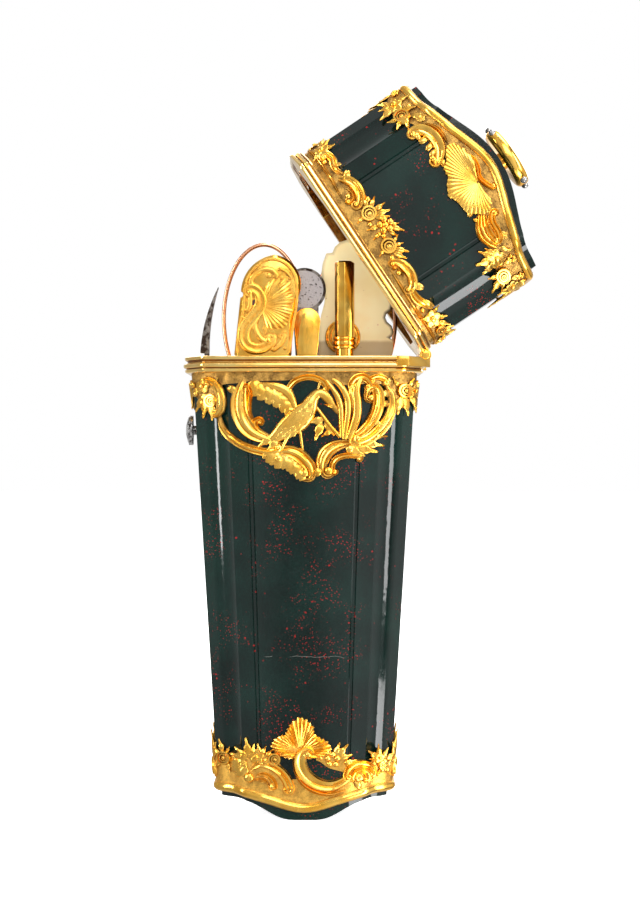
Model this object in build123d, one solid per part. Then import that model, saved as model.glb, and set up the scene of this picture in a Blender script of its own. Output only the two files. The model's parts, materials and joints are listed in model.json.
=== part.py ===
from build123d import *
import math
import os

# A pocket case in the rococo manner: tapered stone body and hinged stone lid in pierced gold mounts.
# Millimetres. X runs across the front, +Y to the back, +Z up. The origin is the middle of the foot.
# Heights in the drawing functions are measured from the mouth, where body and lid meet.

# Stone case
MOUTH_HEIGHT = 76.9
HALF_WIDTH = 18.8
HALF_DEPTH = 11.5
CONE_HEIGHT = 315.0
STONE_WALL = 1.2
PANEL_EDGE = 8.85
QUIRK_WIDTH = 0.95
QUIRK_DEPTH = 0.45
FACET_WIDTH = 3.1
FACET_DROP = 0.85
FLUTE_RUN = 4.1
FLUTE_DROP = 3.2
FLUTE_SAG = 0.6
STRIP_DROP = 1.9
BACK_OFF = 0.25

# Serpentine ends of the stone and of the plates that close them
BODY_END = -71.9
BODY_SWELL = -3.5
BASE_THICK = 1.5
FOOT_HALF = 1.5
LID_END = 23.1
LID_SWELL = 4.0
CAP_THICK = 1.15
SWELL_REACH = 0.9
SWELL_KNEE = 0.56
SWELL_SHARE = 0.38
PLATE_INSET = 0.75

# Liners and the block that holds the implements
LINER_WALL = 0.4
LINER_FLOOR = -70.6
LID_ROOF = 21.8
BLOCK_TOP = -1.3
BLOCK_GAP = 0.25
SLOT_GAP = 0.3

# Moulded rims and hinge
RIM_SIDE = 1.15
RIM_FRONT = 0.75
RIM_CANT_WIDTH = 3.05
RIM_CANT_DEPTH = 5.65
RIM_CORNER = 1.6
BODY_RIM = 2.65
LID_RIM = 2.1
BEAD_OUT = 0.25
RIM_PART = 0.05
HINGE_OUT = 1.4
HINGE_Z = 0.4
LID_ANGLE = 56.2
PIN_RADIUS = 0.45
PIN_FIT = 0.04
PIN_HEAD = 0.75
KNUCKLE_RADIUS = 1.0
KNUCKLE_GAP = 0.15
LID_KNUCKLE = 4.0
EAR_END = 6.9
LUG_REACH = 5.0
LUG_THICK = 0.45
LUG_HEIGHT = 1.65

# Gold mounts
MOUNT_FIT = 0.02
MOUNT_THICK = 0.6
BAND_HEIGHT = 2.2
NAIL_RADIUS = 0.55
NAIL_PROUD = 0.35
NAIL_SEAT = 0.04
NAIL_Z = -69.8

# Catch and push button
LATCH_ROOT = -33.0
LATCH_WIDTH = 2.2
CLAW_TIP = 12.2
LEAF_THICK = 0.6
LEAF_GAP = 0.15
LATCH_RIVET = 0.5
LATCH_RIVET_HEAD = 0.4
CATCH_GAP = 0.15
CATCH_THICK = 0.75
SLOT_INSET = 1.8
SLOT_WIDTH = 2.1
PLATE_WEB = 0.5
PLATE_HALF = 1.75
CHANNEL_ROOM = 0.2
BUTTON_Z = -12.1
BUTTON_HALF_HEIGHT = 2.5
BUTTON_HALF_WIDTH = 1.9
BUTTON_PROUD = 2.0
BUTTON_TRAVEL = 0.6
BUTTON_STEM = 0.8
COLLET_THICK = 0.75
PRESS_GAP = 0.05
STEM_FIT = 0.08

# Knob on the lid
KNOB_LENGTH = 11.0
KNOB_DEPTH = 8.0
KNOB_THICK = 2.4
KNOB_Z = 29.8
KNOB_STEM = 1.5
BRILLIANT = 0.62

# Implements: depth of each layer, and the main sizes of each tool
KNIFE_LAYER = -7.4
TWEEZER_LAYER = -4.95
MIRROR_LAYER = -2.4
TABLET_LAYER = 0.5
SCISSOR_LAYER = 4.6
KNIFE_THICK = 2.0
BLADE_THICK = 0.8
BLADE_TIP = -50.0
MIRROR_X = 0.0
MIRROR_Z = 11.6
MIRROR_RADIUS = 3.65
MIRROR_THICK = 1.2
MIRROR_TANG = -48.0
GLASS_THICK = 0.35
TWEEZER_X = 0.5
TWEEZER_TOP = 8.3
TWEEZER_TIP = -58.0
TWEEZER_STOCK = 0.75
TWEEZER_DEPTH = 2.6
LEAF_COUNT = 4
TABLET_LEAF = 0.7
TABLET_GAP = 0.1
TABLET_FOOT = -52.0
ROSETTE_X = 6.5
ROSETTE_Z = 3.7
ROSETTE_RADIUS = 3.0
ROSETTE_THICK = 0.7
RIVET_RADIUS = 0.6
PENCIL_X = 6.75
PENCIL_Y = -5.7
PENCIL_TOP = 16.1
PENCIL_RADIUS = 1.65
PENCIL_STEM = 1.5
PENCIL_TIP = -57.0
COLLAR_RADIUS = 2.0
COLLAR_TOP = 3.4
COLLAR_FOOT = 1.4
SCISSOR_X = 0.85
BOW_WIRE = 0.36
BOW_TOP = 19.9
BOW_MIDDLE = 7.2
BOW_FOOT = -5.5
BOW_OUT = 14.75
BOW_STEP = 0.45
HALF_THICK = 1.1
SCISSOR_GAP = 0.1
SCISSOR_PIVOT = -20.0
SCISSOR_TIP = -60.0
SCREW_RADIUS = 0.9
SCREW_HEAD = 0.35
SCREW_RIM = 0.5
WELL_TOP = 3.0

# Places that follow the case
RIM_HALF_WIDTH = HALF_WIDTH + RIM_SIDE
RIM_HALF_DEPTH = HALF_DEPTH + RIM_FRONT
RIM_FLAT = RIM_HALF_WIDTH - RIM_CANT_WIDTH
RIM_END = RIM_HALF_DEPTH - RIM_CANT_DEPTH
HINGE_X = HALF_WIDTH + HINGE_OUT
LUG_START = HINGE_X - LUG_REACH
SLOT_OUTER = SLOT_INSET - HALF_WIDTH
SLOT_INNER = SLOT_OUTER + SLOT_WIDTH
PLATE_EDGE = SLOT_INNER + PLATE_WEB

upright = (Align.CENTER, Align.CENTER, Align.MIN)


def taper(z):
    """Size of the case at a height above the mouth, as a share of its size there: the lid is straight."""
    return 1 + min(z, 0.0) / CONE_HEIGHT


def outline(z, start, *steps):
    """Face of an outline that is drawn at the mouth and scaled to height z. A step is a point or an arc."""
    k = taper(z)

    def spot(p):
        return (p[0] * k, p[1] * k, z)

    edges, here = [], start
    for step in (*steps, start):
        if isinstance(step[0], tuple):
            edges.append(ThreePointArc(spot(here), spot(step[0]), spot(step[1])))
            here = step[1]
        else:
            edges.append(Line(spot(here), spot(step)))
            here = step
    return make_face(edges)


def tapered(low, high, start, *steps):
    """Solid between two heights of an outline that shrinks towards the foot with the case."""
    return loft([outline(low, start, *steps), outline(high, start, *steps)], ruled=True)


def corner(grow=0.0):
    """Points of the front right corner, from the centre panel round to the side, grown outwards."""
    facet_start = PANEL_EDGE + QUIRK_WIDTH
    facet_front = HALF_DEPTH - BACK_OFF
    a = (facet_start + 0.1 * grow, -facet_front - grow)
    b = (facet_start + FACET_WIDTH + 0.35 * grow, FACET_DROP - facet_front - 0.94 * grow)
    d = (b[0] + FLUTE_RUN + 0.33 * grow, b[1] + FLUTE_DROP + 0.21 * grow)
    run, drop = d[0] - b[0], d[1] - b[1]
    chord = math.hypot(run, drop)
    c = ((b[0] + d[0]) / 2 - FLUTE_SAG * drop / chord, (b[1] + d[1]) / 2 + FLUTE_SAG * run / chord)
    e = (HALF_WIDTH + grow, d[1] + STRIP_DROP + 0.3 * grow)
    return a, b, c, d, e


def flip(point, x=1, y=1):
    return (point[0] * x, point[1] * y)


def whole_case(low, high, grow=0.0):
    """Solid inside the outer skin of the case between two heights, with no grooves, grown outwards."""
    a, b, c, d, e = corner(grow)
    edge = (a[0], -(HALF_DEPTH + grow))
    steps = [edge, b, (c, d), e, flip(e, y=-1), flip(d, y=-1)]
    steps += [(flip(c, y=-1), flip(b, y=-1)), flip(edge, y=-1)]
    steps += [flip(edge, -1, -1), flip(b, -1, -1), (flip(c, -1, -1), flip(d, -1, -1)), flip(e, -1, -1)]
    steps += [flip(e, -1), flip(d, -1), (flip(c, -1), flip(b, -1))]
    return tapered(low, high, flip(edge, -1), *steps)


def inner_points(inset):
    """Points of the front right inner corner: an eight-sided hollow, inset from the stone's outer skin."""
    a, b, c, d, e = corner()
    depth = HALF_DEPTH - inset
    width = HALF_WIDTH - inset
    run, drop = d[0] - b[0], d[1] - b[1]
    chord = math.hypot(run, drop)
    nx, ny = drop / chord, -run / chord
    reach = c[0] * nx + c[1] * ny - inset
    x = (reach + depth * ny) / nx
    y = (reach - width * nx) / ny
    return (x, -depth), (width, y)


def hollow(low, high, inset):
    """Solid of the eight-sided hollow between two heights."""
    p, q = inner_points(inset)
    ring = [p, q, flip(q, y=-1), flip(p, y=-1), flip(p, -1, -1), flip(q, -1, -1), flip(q, -1)]
    return tapered(low, high, flip(p, -1), *ring)


def wave(end, swell, flat=0.0):
    """Upper edge of a serpentine line across the case: level ends, a swell in the middle."""
    k = taper(end)
    reach = HALF_WIDTH * k * SWELL_REACH
    far = HALF_WIDTH * k + 6
    knee = (reach * SWELL_KNEE, end + swell * SWELL_SHARE)
    level = [(1, 0), (1, 0)]
    right = Spline((flat, end + swell), knee, (reach, end), tangents=level)
    left = Spline((-reach, end), (-knee[0], knee[1]), (-flat, end + swell), tangents=level)
    edges = [Line((-far, end), (-reach, end)), left, right, Line((reach, end), (far, end))]
    if flat:
        edges.append(Line((-flat, end + swell), (flat, end + swell)))
    return edges, far


def serpentine(end, swell, other, flat=0.0):
    """Prism through the case between a serpentine line and a level one."""
    edges, far = wave(end, swell, flat)
    edges += [
        Line((far, end), (far, other)), Line((far, other), (-far, other)), Line((-far, other), (-far, end))]
    return extrude(Plane.XZ * make_face(edges), amount=HALF_DEPTH * 2, both=True)


def panels(low, high, keep):
    """The eight stone panels of the body or of the lid, cut to a serpentine end."""
    a, b, c, d, e = corner()
    p, q = inner_points(STONE_WALL)
    floor = -(HALF_DEPTH - QUIRK_DEPTH)
    joint = PANEL_EDGE + 0.25
    inner = p[1]
    made = {}
    made["front_panel"] = tapered(
        low, high, (-PANEL_EDGE, -HALF_DEPTH), (PANEL_EDGE, -HALF_DEPTH), (joint, floor),
        (joint, inner), (-joint, inner), (-joint, floor))
    flute = tapered(
        low, high, (joint, inner), (joint, floor), (a[0] - 0.2, floor), a, b, (c, d), q, p)
    made["right_side"] = tapered(low, high, d, e, flip(e, y=-1), flip(d, y=-1), flip(q, y=-1), q)
    made["back_panel"] = mirror(made["front_panel"], about=Plane.XZ)
    made["left_side"] = mirror(made["right_side"], about=Plane.YZ)
    made["front_right_flute"] = flute
    made["front_left_flute"] = mirror(flute, about=Plane.YZ)
    made["back_right_flute"] = mirror(flute, about=Plane.XZ)
    made["back_left_flute"] = mirror(made["front_left_flute"], about=Plane.XZ)
    return {name: solid & keep for name, solid in made.items()}


def end_plate(zone, low, high):
    """Stone plate that closes an end: the zone between two serpentine lines, inset from the gold."""
    return zone & whole_case(low, high, -PLATE_INSET)


def rim_face(grow):
    """Plan of a moulded rim: long flats, canted corners and short ends."""
    w, d = RIM_HALF_WIDTH + grow, RIM_HALF_DEPTH + grow
    f, e = RIM_FLAT + grow / 2, RIM_END + grow / 2
    plan = Polygon((f, -d), (w, -e), (w, e), (f, d), (-f, d), (-w, e), (-w, -e), (-f, -d), align=None)
    return fillet(plan.vertices(), RIM_CORNER)


def rim(layers, low_end, high_end):
    """Moulded rim from a list of (low, high, growth) layers, hollowed to the liner between two heights."""
    ring = Part()
    for low, high, grow in layers:
        ring += extrude(Pos(0, 0, low) * rim_face(grow), amount=high - low)
    return ring - hollow(low_end, high_end, STONE_WALL + LINER_WALL)


def knuckle(radius, start, end):
    """Cylinder along the hinge line, between two depths."""
    return Pos(HINGE_X, start, HINGE_Z) * Rot(-90, 0, 0) * Cylinder(radius, end - start, align=upright)


def both_ends(shape):
    return shape + mirror(shape, about=Plane.XZ)


def skin(low, high):
    """Thin shell that lies on the stone, from which the mounts are cut."""
    return whole_case(low, high, MOUNT_FIT + MOUNT_THICK) - whole_case(low - 1, high + 1, MOUNT_FIT)


def crescent(x, z, radius, bore, turn, shift=0.35):
    """C-scroll: a disc less a smaller disc that is set off centre, opening towards the turn angle."""
    away = radius - bore + shift
    hole = Pos(away * math.cos(math.radians(turn)), away * math.sin(math.radians(turn))) * Circle(bore)
    return Pos(x, z) * (Circle(radius) - hole)


def leaf(x, z, length, width, turn):
    """Pointed leaf between two arcs, from its stalk at x, z."""
    half = width / 2
    side = make_face([
        ThreePointArc((0, 0), (length * 0.45, half), (length, 0)),
        ThreePointArc((length, 0), (length * 0.45, -half), (0, 0))])
    return Pos(x, z) * Rot(0, 0, turn) * side


def flower(x, z, radius):
    """Five round petals about a middle."""
    bloom = Circle(radius * 0.55)
    for i in range(5):
        angle = math.radians(90 + 72 * i)
        bloom += Pos(radius * 0.58 * math.cos(angle), radius * 0.58 * math.sin(angle)) * Circle(radius * 0.42)
    return Pos(x, z) * bloom


def shell_fan(x, z, radius, first, last, ribs):
    """Scalloped shell: ribs that spread like a fan, each with a round end."""
    fan = Circle(radius * 0.25)
    for i in range(ribs):
        turn = first + (last - first) * i / (ribs - 1)
        fan += Rot(0, 0, turn) * (Pos(radius * 0.45, 0) * Rectangle(radius * 0.9, radius * 0.26))
        fan += Rot(0, 0, turn) * (Pos(radius * 0.86, 0) * Circle(radius * 0.16))
    return Pos(x, z) * fan


def strip(low, high):
    return Pos(0, (low + high) / 2) * Rectangle(HALF_WIDTH * 2.6, high - low)


def mirrored(sketch):
    return sketch + mirror(sketch, about=Plane.YZ)


def wader():
    """Long-necked bird that stands among reeds."""
    bird = Pos(-0.6, -10.0) * Rot(0, 0, 12) * Ellipse(3.0, 1.5)
    bird += leaf(-1.0, -9.6, 9.0, 2.2, 152)
    bird += crescent(2.7, -7.9, 2.3, 1.9, -60, 0.5)
    bird += Pos(4.4, -6.6) * Circle(0.75)
    bird += leaf(4.3, -6.6, 3.0, 0.8, -62)
    bird += Pos(0.1, -13.3) * Rectangle(0.5, 5.0)
    return bird


def reeds():
    stems = leaf(7.6, -4.6, 9.5, 1.1, -72)
    stems += leaf(7.9, -12.9, 4.6, 1.4, 40)
    stems += leaf(8.4, -9.6, 3.8, 1.3, 25)
    stems += leaf(8.8, -12.9, 4.4, 1.2, -150)
    return stems


def upper_ornament():
    """Pierced mount below the body's rim: corner flowers, C-scrolls, a bird and rockwork."""
    art = strip(-BODY_RIM - BAND_HEIGHT, -BODY_RIM)
    blooms = flower(14.9, -6.6, 2.0) + flower(17.6, -5.9, 1.9) + flower(12.2, -5.2, 1.4)
    blooms += leaf(15.4, -8.0, 3.6, 1.5, -75) + leaf(17.9, -7.2, 2.8, 1.3, -100)
    art += mirrored(blooms)
    art += crescent(-9.6, -10.6, 5.9, 5.1, 35)
    art += crescent(-5.9, -12.2, 4.6, 4.0, 150)
    art += crescent(12.6, -9.3, 4.6, 3.9, 150)
    art += crescent(7.4, -13.5, 3.9, 3.3, 70)
    rock = crescent(-4.2, -15.6, 2.6, 1.9, 60) + crescent(0.9, -16.6, 2.4, 1.7, 120)
    rock += leaf(-3.6, -15.6, 3.4, 2.0, -110) + leaf(1.4, -16.6, 4.0, 2.4, -85)
    rock += leaf(4.4, -15.6, 3.6, 2.0, -75)
    rock += Pos(0.4, -15.9) * Rectangle(8.6, 1.5)
    return art + rock + wader() + reeds()


def lower_ornament():
    """Band at the foot: a shell peak in the middle, C-scrolls, flowers and leaves to each side."""
    base = BODY_END + BODY_SWELL
    art = strip(base, BODY_END + 3.2)
    art += shell_fan(0.0, -66.6, 6.4, 35, 145, 7)
    side = crescent(5.2, -66.6, 3.2, 2.5, -60) + crescent(9.3, -66.4, 3.0, 2.3, -110)
    side += flower(6.6, -65.8, 1.6) + flower(12.9, -66.6, 1.8) + leaf(13.4, -65.4, 2.8, 1.3, 75)
    side += leaf(6.9, -64.6, 2.4, 1.1, 70) + leaf(10.4, -64.2, 2.6, 1.1, 30)
    side += Pos(9.0, -68.2) * Rectangle(12.0, 1.8)
    art += mirrored(side)
    eyes = Pos(3.0, -67.6) * Ellipse(1.0, 0.7)
    return art - mirrored(eyes)


def lid_garland():
    """Garland above the lid's rim."""
    art = strip(LID_RIM, LID_RIM + BAND_HEIGHT)
    side = crescent(5.2, 3.6, 3.0, 2.3, -80) + crescent(11.4, 3.5, 3.1, 2.4, -100)
    side += flower(15.6, 4.6, 1.6) + leaf(15.6, 5.4, 2.6, 1.1, 60) + leaf(15.2, 5.2, 2.6, 1.1, 115)
    side += flower(2.5, 4.9, 1.3) + leaf(2.6, 5.6, 2.6, 1.0, 55)
    return art + mirrored(side) + flower(0.0, 6.2, 1.6) + leaf(0.6, 6.6, 2.6, 1.0, 100)


def lid_crest():
    """Mount below the lid's cap: shell in the middle, scrolls, corner flowers, smooth border above."""
    art = strip(LID_END - 3.4, LID_END + LID_SWELL)
    art += shell_fan(0.0, 22.0, 5.6, 205, 335, 7)
    side = crescent(8.6, 19.6, 3.6, 2.8, 75) + crescent(4.6, 19.4, 1.9, 1.3, 90)
    side += flower(13.0, 18.5, 1.7) + flower(15.6, 18.3, 1.8) + flower(18.0, 18.6, 1.6)
    side += leaf(13.0, 17.6, 2.9, 1.2, -110) + leaf(15.6, 17.2, 2.9, 1.2, -85)
    side += leaf(18.2, 17.4, 2.6, 1.2, -95)
    side += Pos(11.0, 20.0) * Rectangle(14.0, 1.6)
    return art + mirrored(side)


def cut_mount(art, low, high, border):
    """The drawn ornament cut out of the skin of the case, alike on front and back."""
    prism = extrude(Plane.XZ * art, amount=HALF_DEPTH * 2, both=True)
    return skin(low, high) & prism & border


def biggest(shape):
    """Largest solid of a cut, without loose crumbs."""
    return Part() + max(shape.solids(), key=lambda solid: solid.volume)


def band(points, layer, thick):
    """Flat piece of a given outline, drawn as seen from the front, centred on a layer of the block."""
    face = Polygon(*points, align=None) if isinstance(points, list) else points
    return Pos(0, layer, 0) * extrude(Plane.XZ * face, amount=thick / 2, both=True)


# Body of the case
keep_body = serpentine(BODY_END, BODY_SWELL, 5.0)
bottom = BODY_END + BODY_SWELL - 0.5
nodes = {f"body_{name}": solid for name, solid in panels(bottom, -BODY_RIM, keep_body).items()}
base_zone = serpentine(BODY_END - BASE_THICK, BODY_SWELL, 5.0, FOOT_HALF) - keep_body
nodes["base_stone"] = end_plate(base_zone, bottom - BASE_THICK, BODY_END + 2.0)

liner = hollow(LINER_FLOOR, -BODY_RIM, STONE_WALL + MOUNT_FIT)
liner -= hollow(LINER_FLOOR + LINER_WALL, 0.0, STONE_WALL + LINER_WALL)
stem_hole = Pos(-HALF_WIDTH, 0, BUTTON_Z) * Rot(0, 90, 0) * Cylinder(BUTTON_STEM + STEM_FIT, 8.0)
nodes["body_liner"] = liner - stem_hole
nodes["body_left_side"] -= stem_hole

lug_face = Polygon(
    (LUG_START, -RIM_HALF_DEPTH + 0.4), (LUG_START, -RIM_HALF_DEPTH - LUG_THICK),
    (RIM_FLAT + 0.3, -RIM_HALF_DEPTH - LUG_THICK), (HINGE_X + 0.8, -EAR_END),
    (HINGE_X + 0.8, -EAR_END + 1.2), (HINGE_X - 1.6, -EAR_END + 1.2),
    (RIM_FLAT - 0.6, -RIM_HALF_DEPTH + 0.4), align=None)
lug_arm = extrude(Pos(0, 0, -LUG_HEIGHT) * lug_face, amount=LUG_HEIGHT - RIM_PART)
ear_web = Pos(HINGE_X - 1.4, -(EAR_END + LID_KNUCKLE + KNUCKLE_GAP) / 2, -0.85) * Box(
    2.8, EAR_END - LID_KNUCKLE - KNUCKLE_GAP, LUG_HEIGHT - RIM_PART)
ears = knuckle(KNUCKLE_RADIUS, -EAR_END, -(LID_KNUCKLE + KNUCKLE_GAP))
lug = both_ends(lug_arm + ear_web + ears)
lug -= knuckle(PIN_RADIUS + MOUNT_FIT, -20, 20)
lug -= both_ends(knuckle(PIN_HEAD + PIN_FIT, -20, -EAR_END))
nodes["hinge_lug"] = lug

body_layers = [
    (-0.6, -RIM_PART, 0.0), (-1.15, -0.6, -0.4), (-1.85, -1.15, BEAD_OUT), (-2.05, -1.85, -0.25),
    (-BODY_RIM, -2.05, 0.0)]
lid_half = LID_KNUCKLE + KNUCKLE_GAP
lid_ring_room = knuckle(KNUCKLE_RADIUS + KNUCKLE_GAP, -lid_half, lid_half)
body_ring = rim(body_layers, -BODY_RIM - 1, 0.0)
nodes["body_rim"] = body_ring - lid_ring_room - lug - knuckle(PIN_RADIUS + MOUNT_FIT, -20, 20)

pin = knuckle(PIN_RADIUS, -EAR_END - 0.1, EAR_END + 0.1)
pin += both_ends(knuckle(PIN_HEAD, -EAR_END - 0.6, -EAR_END - MOUNT_FIT))
nodes["hinge_pin"] = pin

everything = serpentine(BODY_END - 0.2, BODY_SWELL, 60.0)
nodes["upper_mount"] = biggest(cut_mount(upper_ornament(), -24.0, -BODY_RIM - MOUNT_FIT, everything))
nodes["lower_mount"] = biggest(cut_mount(lower_ornament(), bottom, -56.0, everything))
proud = MOUNT_FIT + MOUNT_THICK
a, b = corner(proud)[:2]
a = (a[0], -HALF_DEPTH - proud)
facet_tilt = math.degrees(math.atan2(b[1] - a[1], b[0] - a[0]))
nail_at = ((a[0] + b[0]) / 2 * taper(NAIL_Z), (a[1] + b[1]) / 2 * taper(NAIL_Z) - NAIL_SEAT)
nail = Cylinder(NAIL_RADIUS, NAIL_PROUD, align=upright)
nail = fillet(nail.edges().sort_by(Axis.Z)[-1], NAIL_PROUD * 0.6)
nail = Pos(*nail_at, NAIL_Z) * Rot(0, 0, facet_tilt) * Rot(90, 0, 0) * nail
nails = both_ends(nail)
nodes["mount_nails"] = nails + mirror(nails, about=Plane.YZ)

# Implements
handle_outline = make_face([
    Line((-10.6, -4.0), (-11.6, 0.5)), Line((-11.6, 0.5), (-10.6, 9.9)),
    ThreePointArc((-10.6, 9.9), (-10.1, 10.4), (-10.5, 10.9)),
    ThreePointArc((-10.5, 10.9), (-8.8, 15.0), (-4.9, 17.0)),
    ThreePointArc((-4.9, 17.0), (-1.2, 14.6), (-0.8, 10.4)),
    ThreePointArc((-0.8, 10.4), (-1.6, 7.6), (-1.9, 5.9)),
    Line((-1.9, 5.9), (-2.1, 0.5)), Line((-2.1, 0.5), (-3.6, -4.0)), Line((-3.6, -4.0), (-10.6, -4.0))])
handle = band(handle_outline, KNIFE_LAYER, KNIFE_THICK)
handle = chamfer(handle.faces().sort_by(Axis.Y)[0].edges(), 0.5)
handle -= band(Pos(-7.7, 9.25) * Circle(0.45), KNIFE_LAYER, KNIFE_THICK * 2)
nodes["knife_handle"] = handle
blade_outline = make_face([
    Line((-9.9, -4.0), (-4.2, -4.0)), Line((-4.2, -4.0), (-4.8, -34.0)),
    ThreePointArc((-4.8, -34.0), (-5.6, -43.0), (-7.4, BLADE_TIP)),
    Line((-7.4, BLADE_TIP), (-9.9, -4.0))])
nodes["knife_blade"] = band(blade_outline, KNIFE_LAYER, BLADE_THICK)

frame_outline = Pos(MIRROR_X, MIRROR_Z) * Circle(MIRROR_RADIUS)
frame_outline += Polygon((-1.2, -4.0), (2.2, -4.0), (2.4, 8.8), (-2.0, 8.8), align=None)
frame_outline += Polygon((-0.4, MIRROR_TANG), (1.4, MIRROR_TANG), (2.2, -4.0), (-1.2, -4.0), align=None)
glass_disc = Pos(MIRROR_X, MIRROR_Z) * Circle(MIRROR_RADIUS - 0.45)
front_of_frame = MIRROR_LAYER - MIRROR_THICK / 2
glass = band(glass_disc, front_of_frame + GLASS_THICK / 2, GLASS_THICK)
nodes["mirror_frame"] = band(frame_outline, MIRROR_LAYER, MIRROR_THICK) - glass
nodes["mirror_glass"] = glass

spade = make_face([
    Line((-0.55, TWEEZER_TIP), (0.55, TWEEZER_TIP)), Line((0.55, TWEEZER_TIP), (1.65, 0.0)),
    Line((1.65, 0.0), (2.15, 5.6)), ThreePointArc((2.15, 5.6), (0.0, TWEEZER_TOP), (-2.15, 5.6)),
    Line((-2.15, 5.6), (-1.65, 0.0)), Line((-1.65, 0.0), (-0.55, TWEEZER_TIP))])
tweezer = band(Pos(TWEEZER_X, 0) * spade, TWEEZER_LAYER, TWEEZER_DEPTH)
inside = TWEEZER_DEPTH - 2 * TWEEZER_STOCK
tweezer -= Pos(TWEEZER_X, TWEEZER_LAYER, (TWEEZER_TIP + 5.4) / 2 - 1) * Box(8, inside, 5.4 - TWEEZER_TIP + 2)
nodes["tweezers"] = tweezer

tablet_outline = make_face([
    Line((3.2, TABLET_FOOT), (2.3, 1.0)), Line((2.3, 1.0), (2.76, 14.0)),
    ThreePointArc((2.76, 14.0), (3.5, 17.6), (5.0, 19.3)),
    ThreePointArc((5.0, 19.3), (7.6, 20.3), (10.0, 18.2)),
    ThreePointArc((10.0, 18.2), (11.0, 15.6), (12.3, 12.9)),
    ThreePointArc((12.3, 12.9), (14.6, 11.0), (15.25, 8.7)),
    ThreePointArc((15.25, 8.7), (14.0, 6.7), (15.1, 4.4)), Line((15.1, 4.4), (14.7, 0.5)),
    Line((14.7, 0.5), (11.6, TABLET_FOOT)), Line((11.6, TABLET_FOOT), (3.2, TABLET_FOOT))])
stack = LEAF_COUNT * TABLET_LEAF + (LEAF_COUNT - 1) * TABLET_GAP
rivet_hole = band(Pos(ROSETTE_X, ROSETTE_Z) * Circle(RIVET_RADIUS + PIN_FIT), TABLET_LAYER, 12.0)
for i in range(LEAF_COUNT):
    place_y = TABLET_LAYER - stack / 2 + TABLET_LEAF / 2 + i * (TABLET_LEAF + TABLET_GAP)
    nodes[f"tablet_leaf_{i + 1}"] = band(tablet_outline, place_y, TABLET_LEAF) - rivet_hole
front_of_stack = TABLET_LAYER - stack / 2
rosette = Part()
for radius, proud in ((ROSETTE_RADIUS, 0.4), (2.3, 0.6), (1.5, ROSETTE_THICK)):
    rosette += band(Pos(ROSETTE_X, ROSETTE_Z) * Circle(radius), front_of_stack - proud / 2 - MOUNT_FIT, proud)
back_washer = band(Pos(ROSETTE_X, ROSETTE_Z) * Circle(1.3), TABLET_LAYER + stack / 2 + 0.25, 0.4)
rivet = band(Pos(ROSETTE_X, ROSETTE_Z) * Circle(RIVET_RADIUS), TABLET_LAYER, stack + 0.2)
nodes["tablet_rosette"] = rosette + rivet + back_washer

at_pencil = Pos(PENCIL_X, PENCIL_Y, 0)
tube_face = RegularPolygon(PENCIL_RADIUS, 8)
tube = at_pencil * extrude(Pos(0, 0, COLLAR_TOP) * tube_face, amount=PENCIL_TOP - COLLAR_TOP)
tube = chamfer(tube.faces().sort_by(Axis.Z)[-1].edges(), 0.3)
nodes["pencil_tube"] = tube
collar = at_pencil * Pos(0, 0, COLLAR_FOOT) * Cylinder(COLLAR_RADIUS, COLLAR_TOP - COLLAR_FOOT, align=upright)
for groove_z in (COLLAR_FOOT + 0.55, COLLAR_TOP - 0.55):
    ring = Pos(0, 0, groove_z) * (Cylinder(COLLAR_RADIUS + 1, 0.2) - Cylinder(COLLAR_RADIUS - 0.25, 0.4))
    collar -= at_pencil * ring
nodes["pencil_collar"] = collar
stem_length = COLLAR_FOOT - PENCIL_TIP - 10.0
stem = at_pencil * Pos(0, 0, PENCIL_TIP + 10.0) * Cylinder(PENCIL_STEM, stem_length, align=upright)
stem += at_pencil * Pos(0, 0, PENCIL_TIP + 2.0) * Cone(0.5, PENCIL_STEM, 8.0, align=upright)
nodes["pencil_stem"] = stem
nodes["pencil_lead"] = at_pencil * Pos(0, 0, PENCIL_TIP) * Cone(0.1, 0.5, 2.0, align=upright)

# Scissors: wire bows brazed to flat halves that cross at the screw
bow_right = SCISSOR_X - 0.9
bow_left = SCISSOR_X - BOW_OUT
bow_x, bow_half = (bow_left + bow_right) / 2, (bow_right - bow_left) / 2
front_half = SCISSOR_LAYER - (HALF_THICK + SCISSOR_GAP) / 2
back_half = SCISSOR_LAYER + (HALF_THICK + SCISSOR_GAP) / 2


def oval():
    """Line of a finger loop: rounder above, longer below."""
    middle = (bow_x, BOW_MIDDLE)
    top = EllipticalCenterArc(middle, bow_half, BOW_TOP - BOW_MIDDLE, start_angle=0, arc_size=180)
    foot = EllipticalCenterArc(middle, bow_half, BOW_MIDDLE - BOW_FOOT, start_angle=180, arc_size=180)
    return Wire([top.edge(), foot.edge()])


def bow(layer):
    path = Pos(0, layer, 0) * (Plane.XZ * oval())
    return sweep(Plane(origin=path @ 0, z_dir=path % 0) * Circle(BOW_WIRE), path=path)


def scissor_half(layer, bow_layer):
    """Shank and blade of the half whose loop is on the left, cut out for the loop's wire."""
    shank = Polygon(
        (bow_x - 2.6, BOW_FOOT + 0.6), (bow_x + 4.6, BOW_FOOT + 2.4),
        (SCISSOR_X + 1.0, SCISSOR_PIVOT + 1.4), (SCISSOR_X + 1.3, SCISSOR_PIVOT - 4.0),
        (SCISSOR_X + 0.5, SCISSOR_TIP), (SCISSOR_X - 0.4, SCISSOR_TIP + 2),
        (SCISSOR_X - 0.9, SCISSOR_PIVOT - 4.0), (SCISSOR_X - 1.5, SCISSOR_PIVOT), align=None)
    shank += Pos(SCISSOR_X, SCISSOR_PIVOT) * Circle(1.7)
    shank -= make_face(oval())
    shank -= Pos(SCISSOR_X, SCISSOR_PIVOT) * Circle(SCREW_RADIUS + PIN_FIT)
    return biggest(band(shank, layer, HALF_THICK) - bow(bow_layer))


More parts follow.
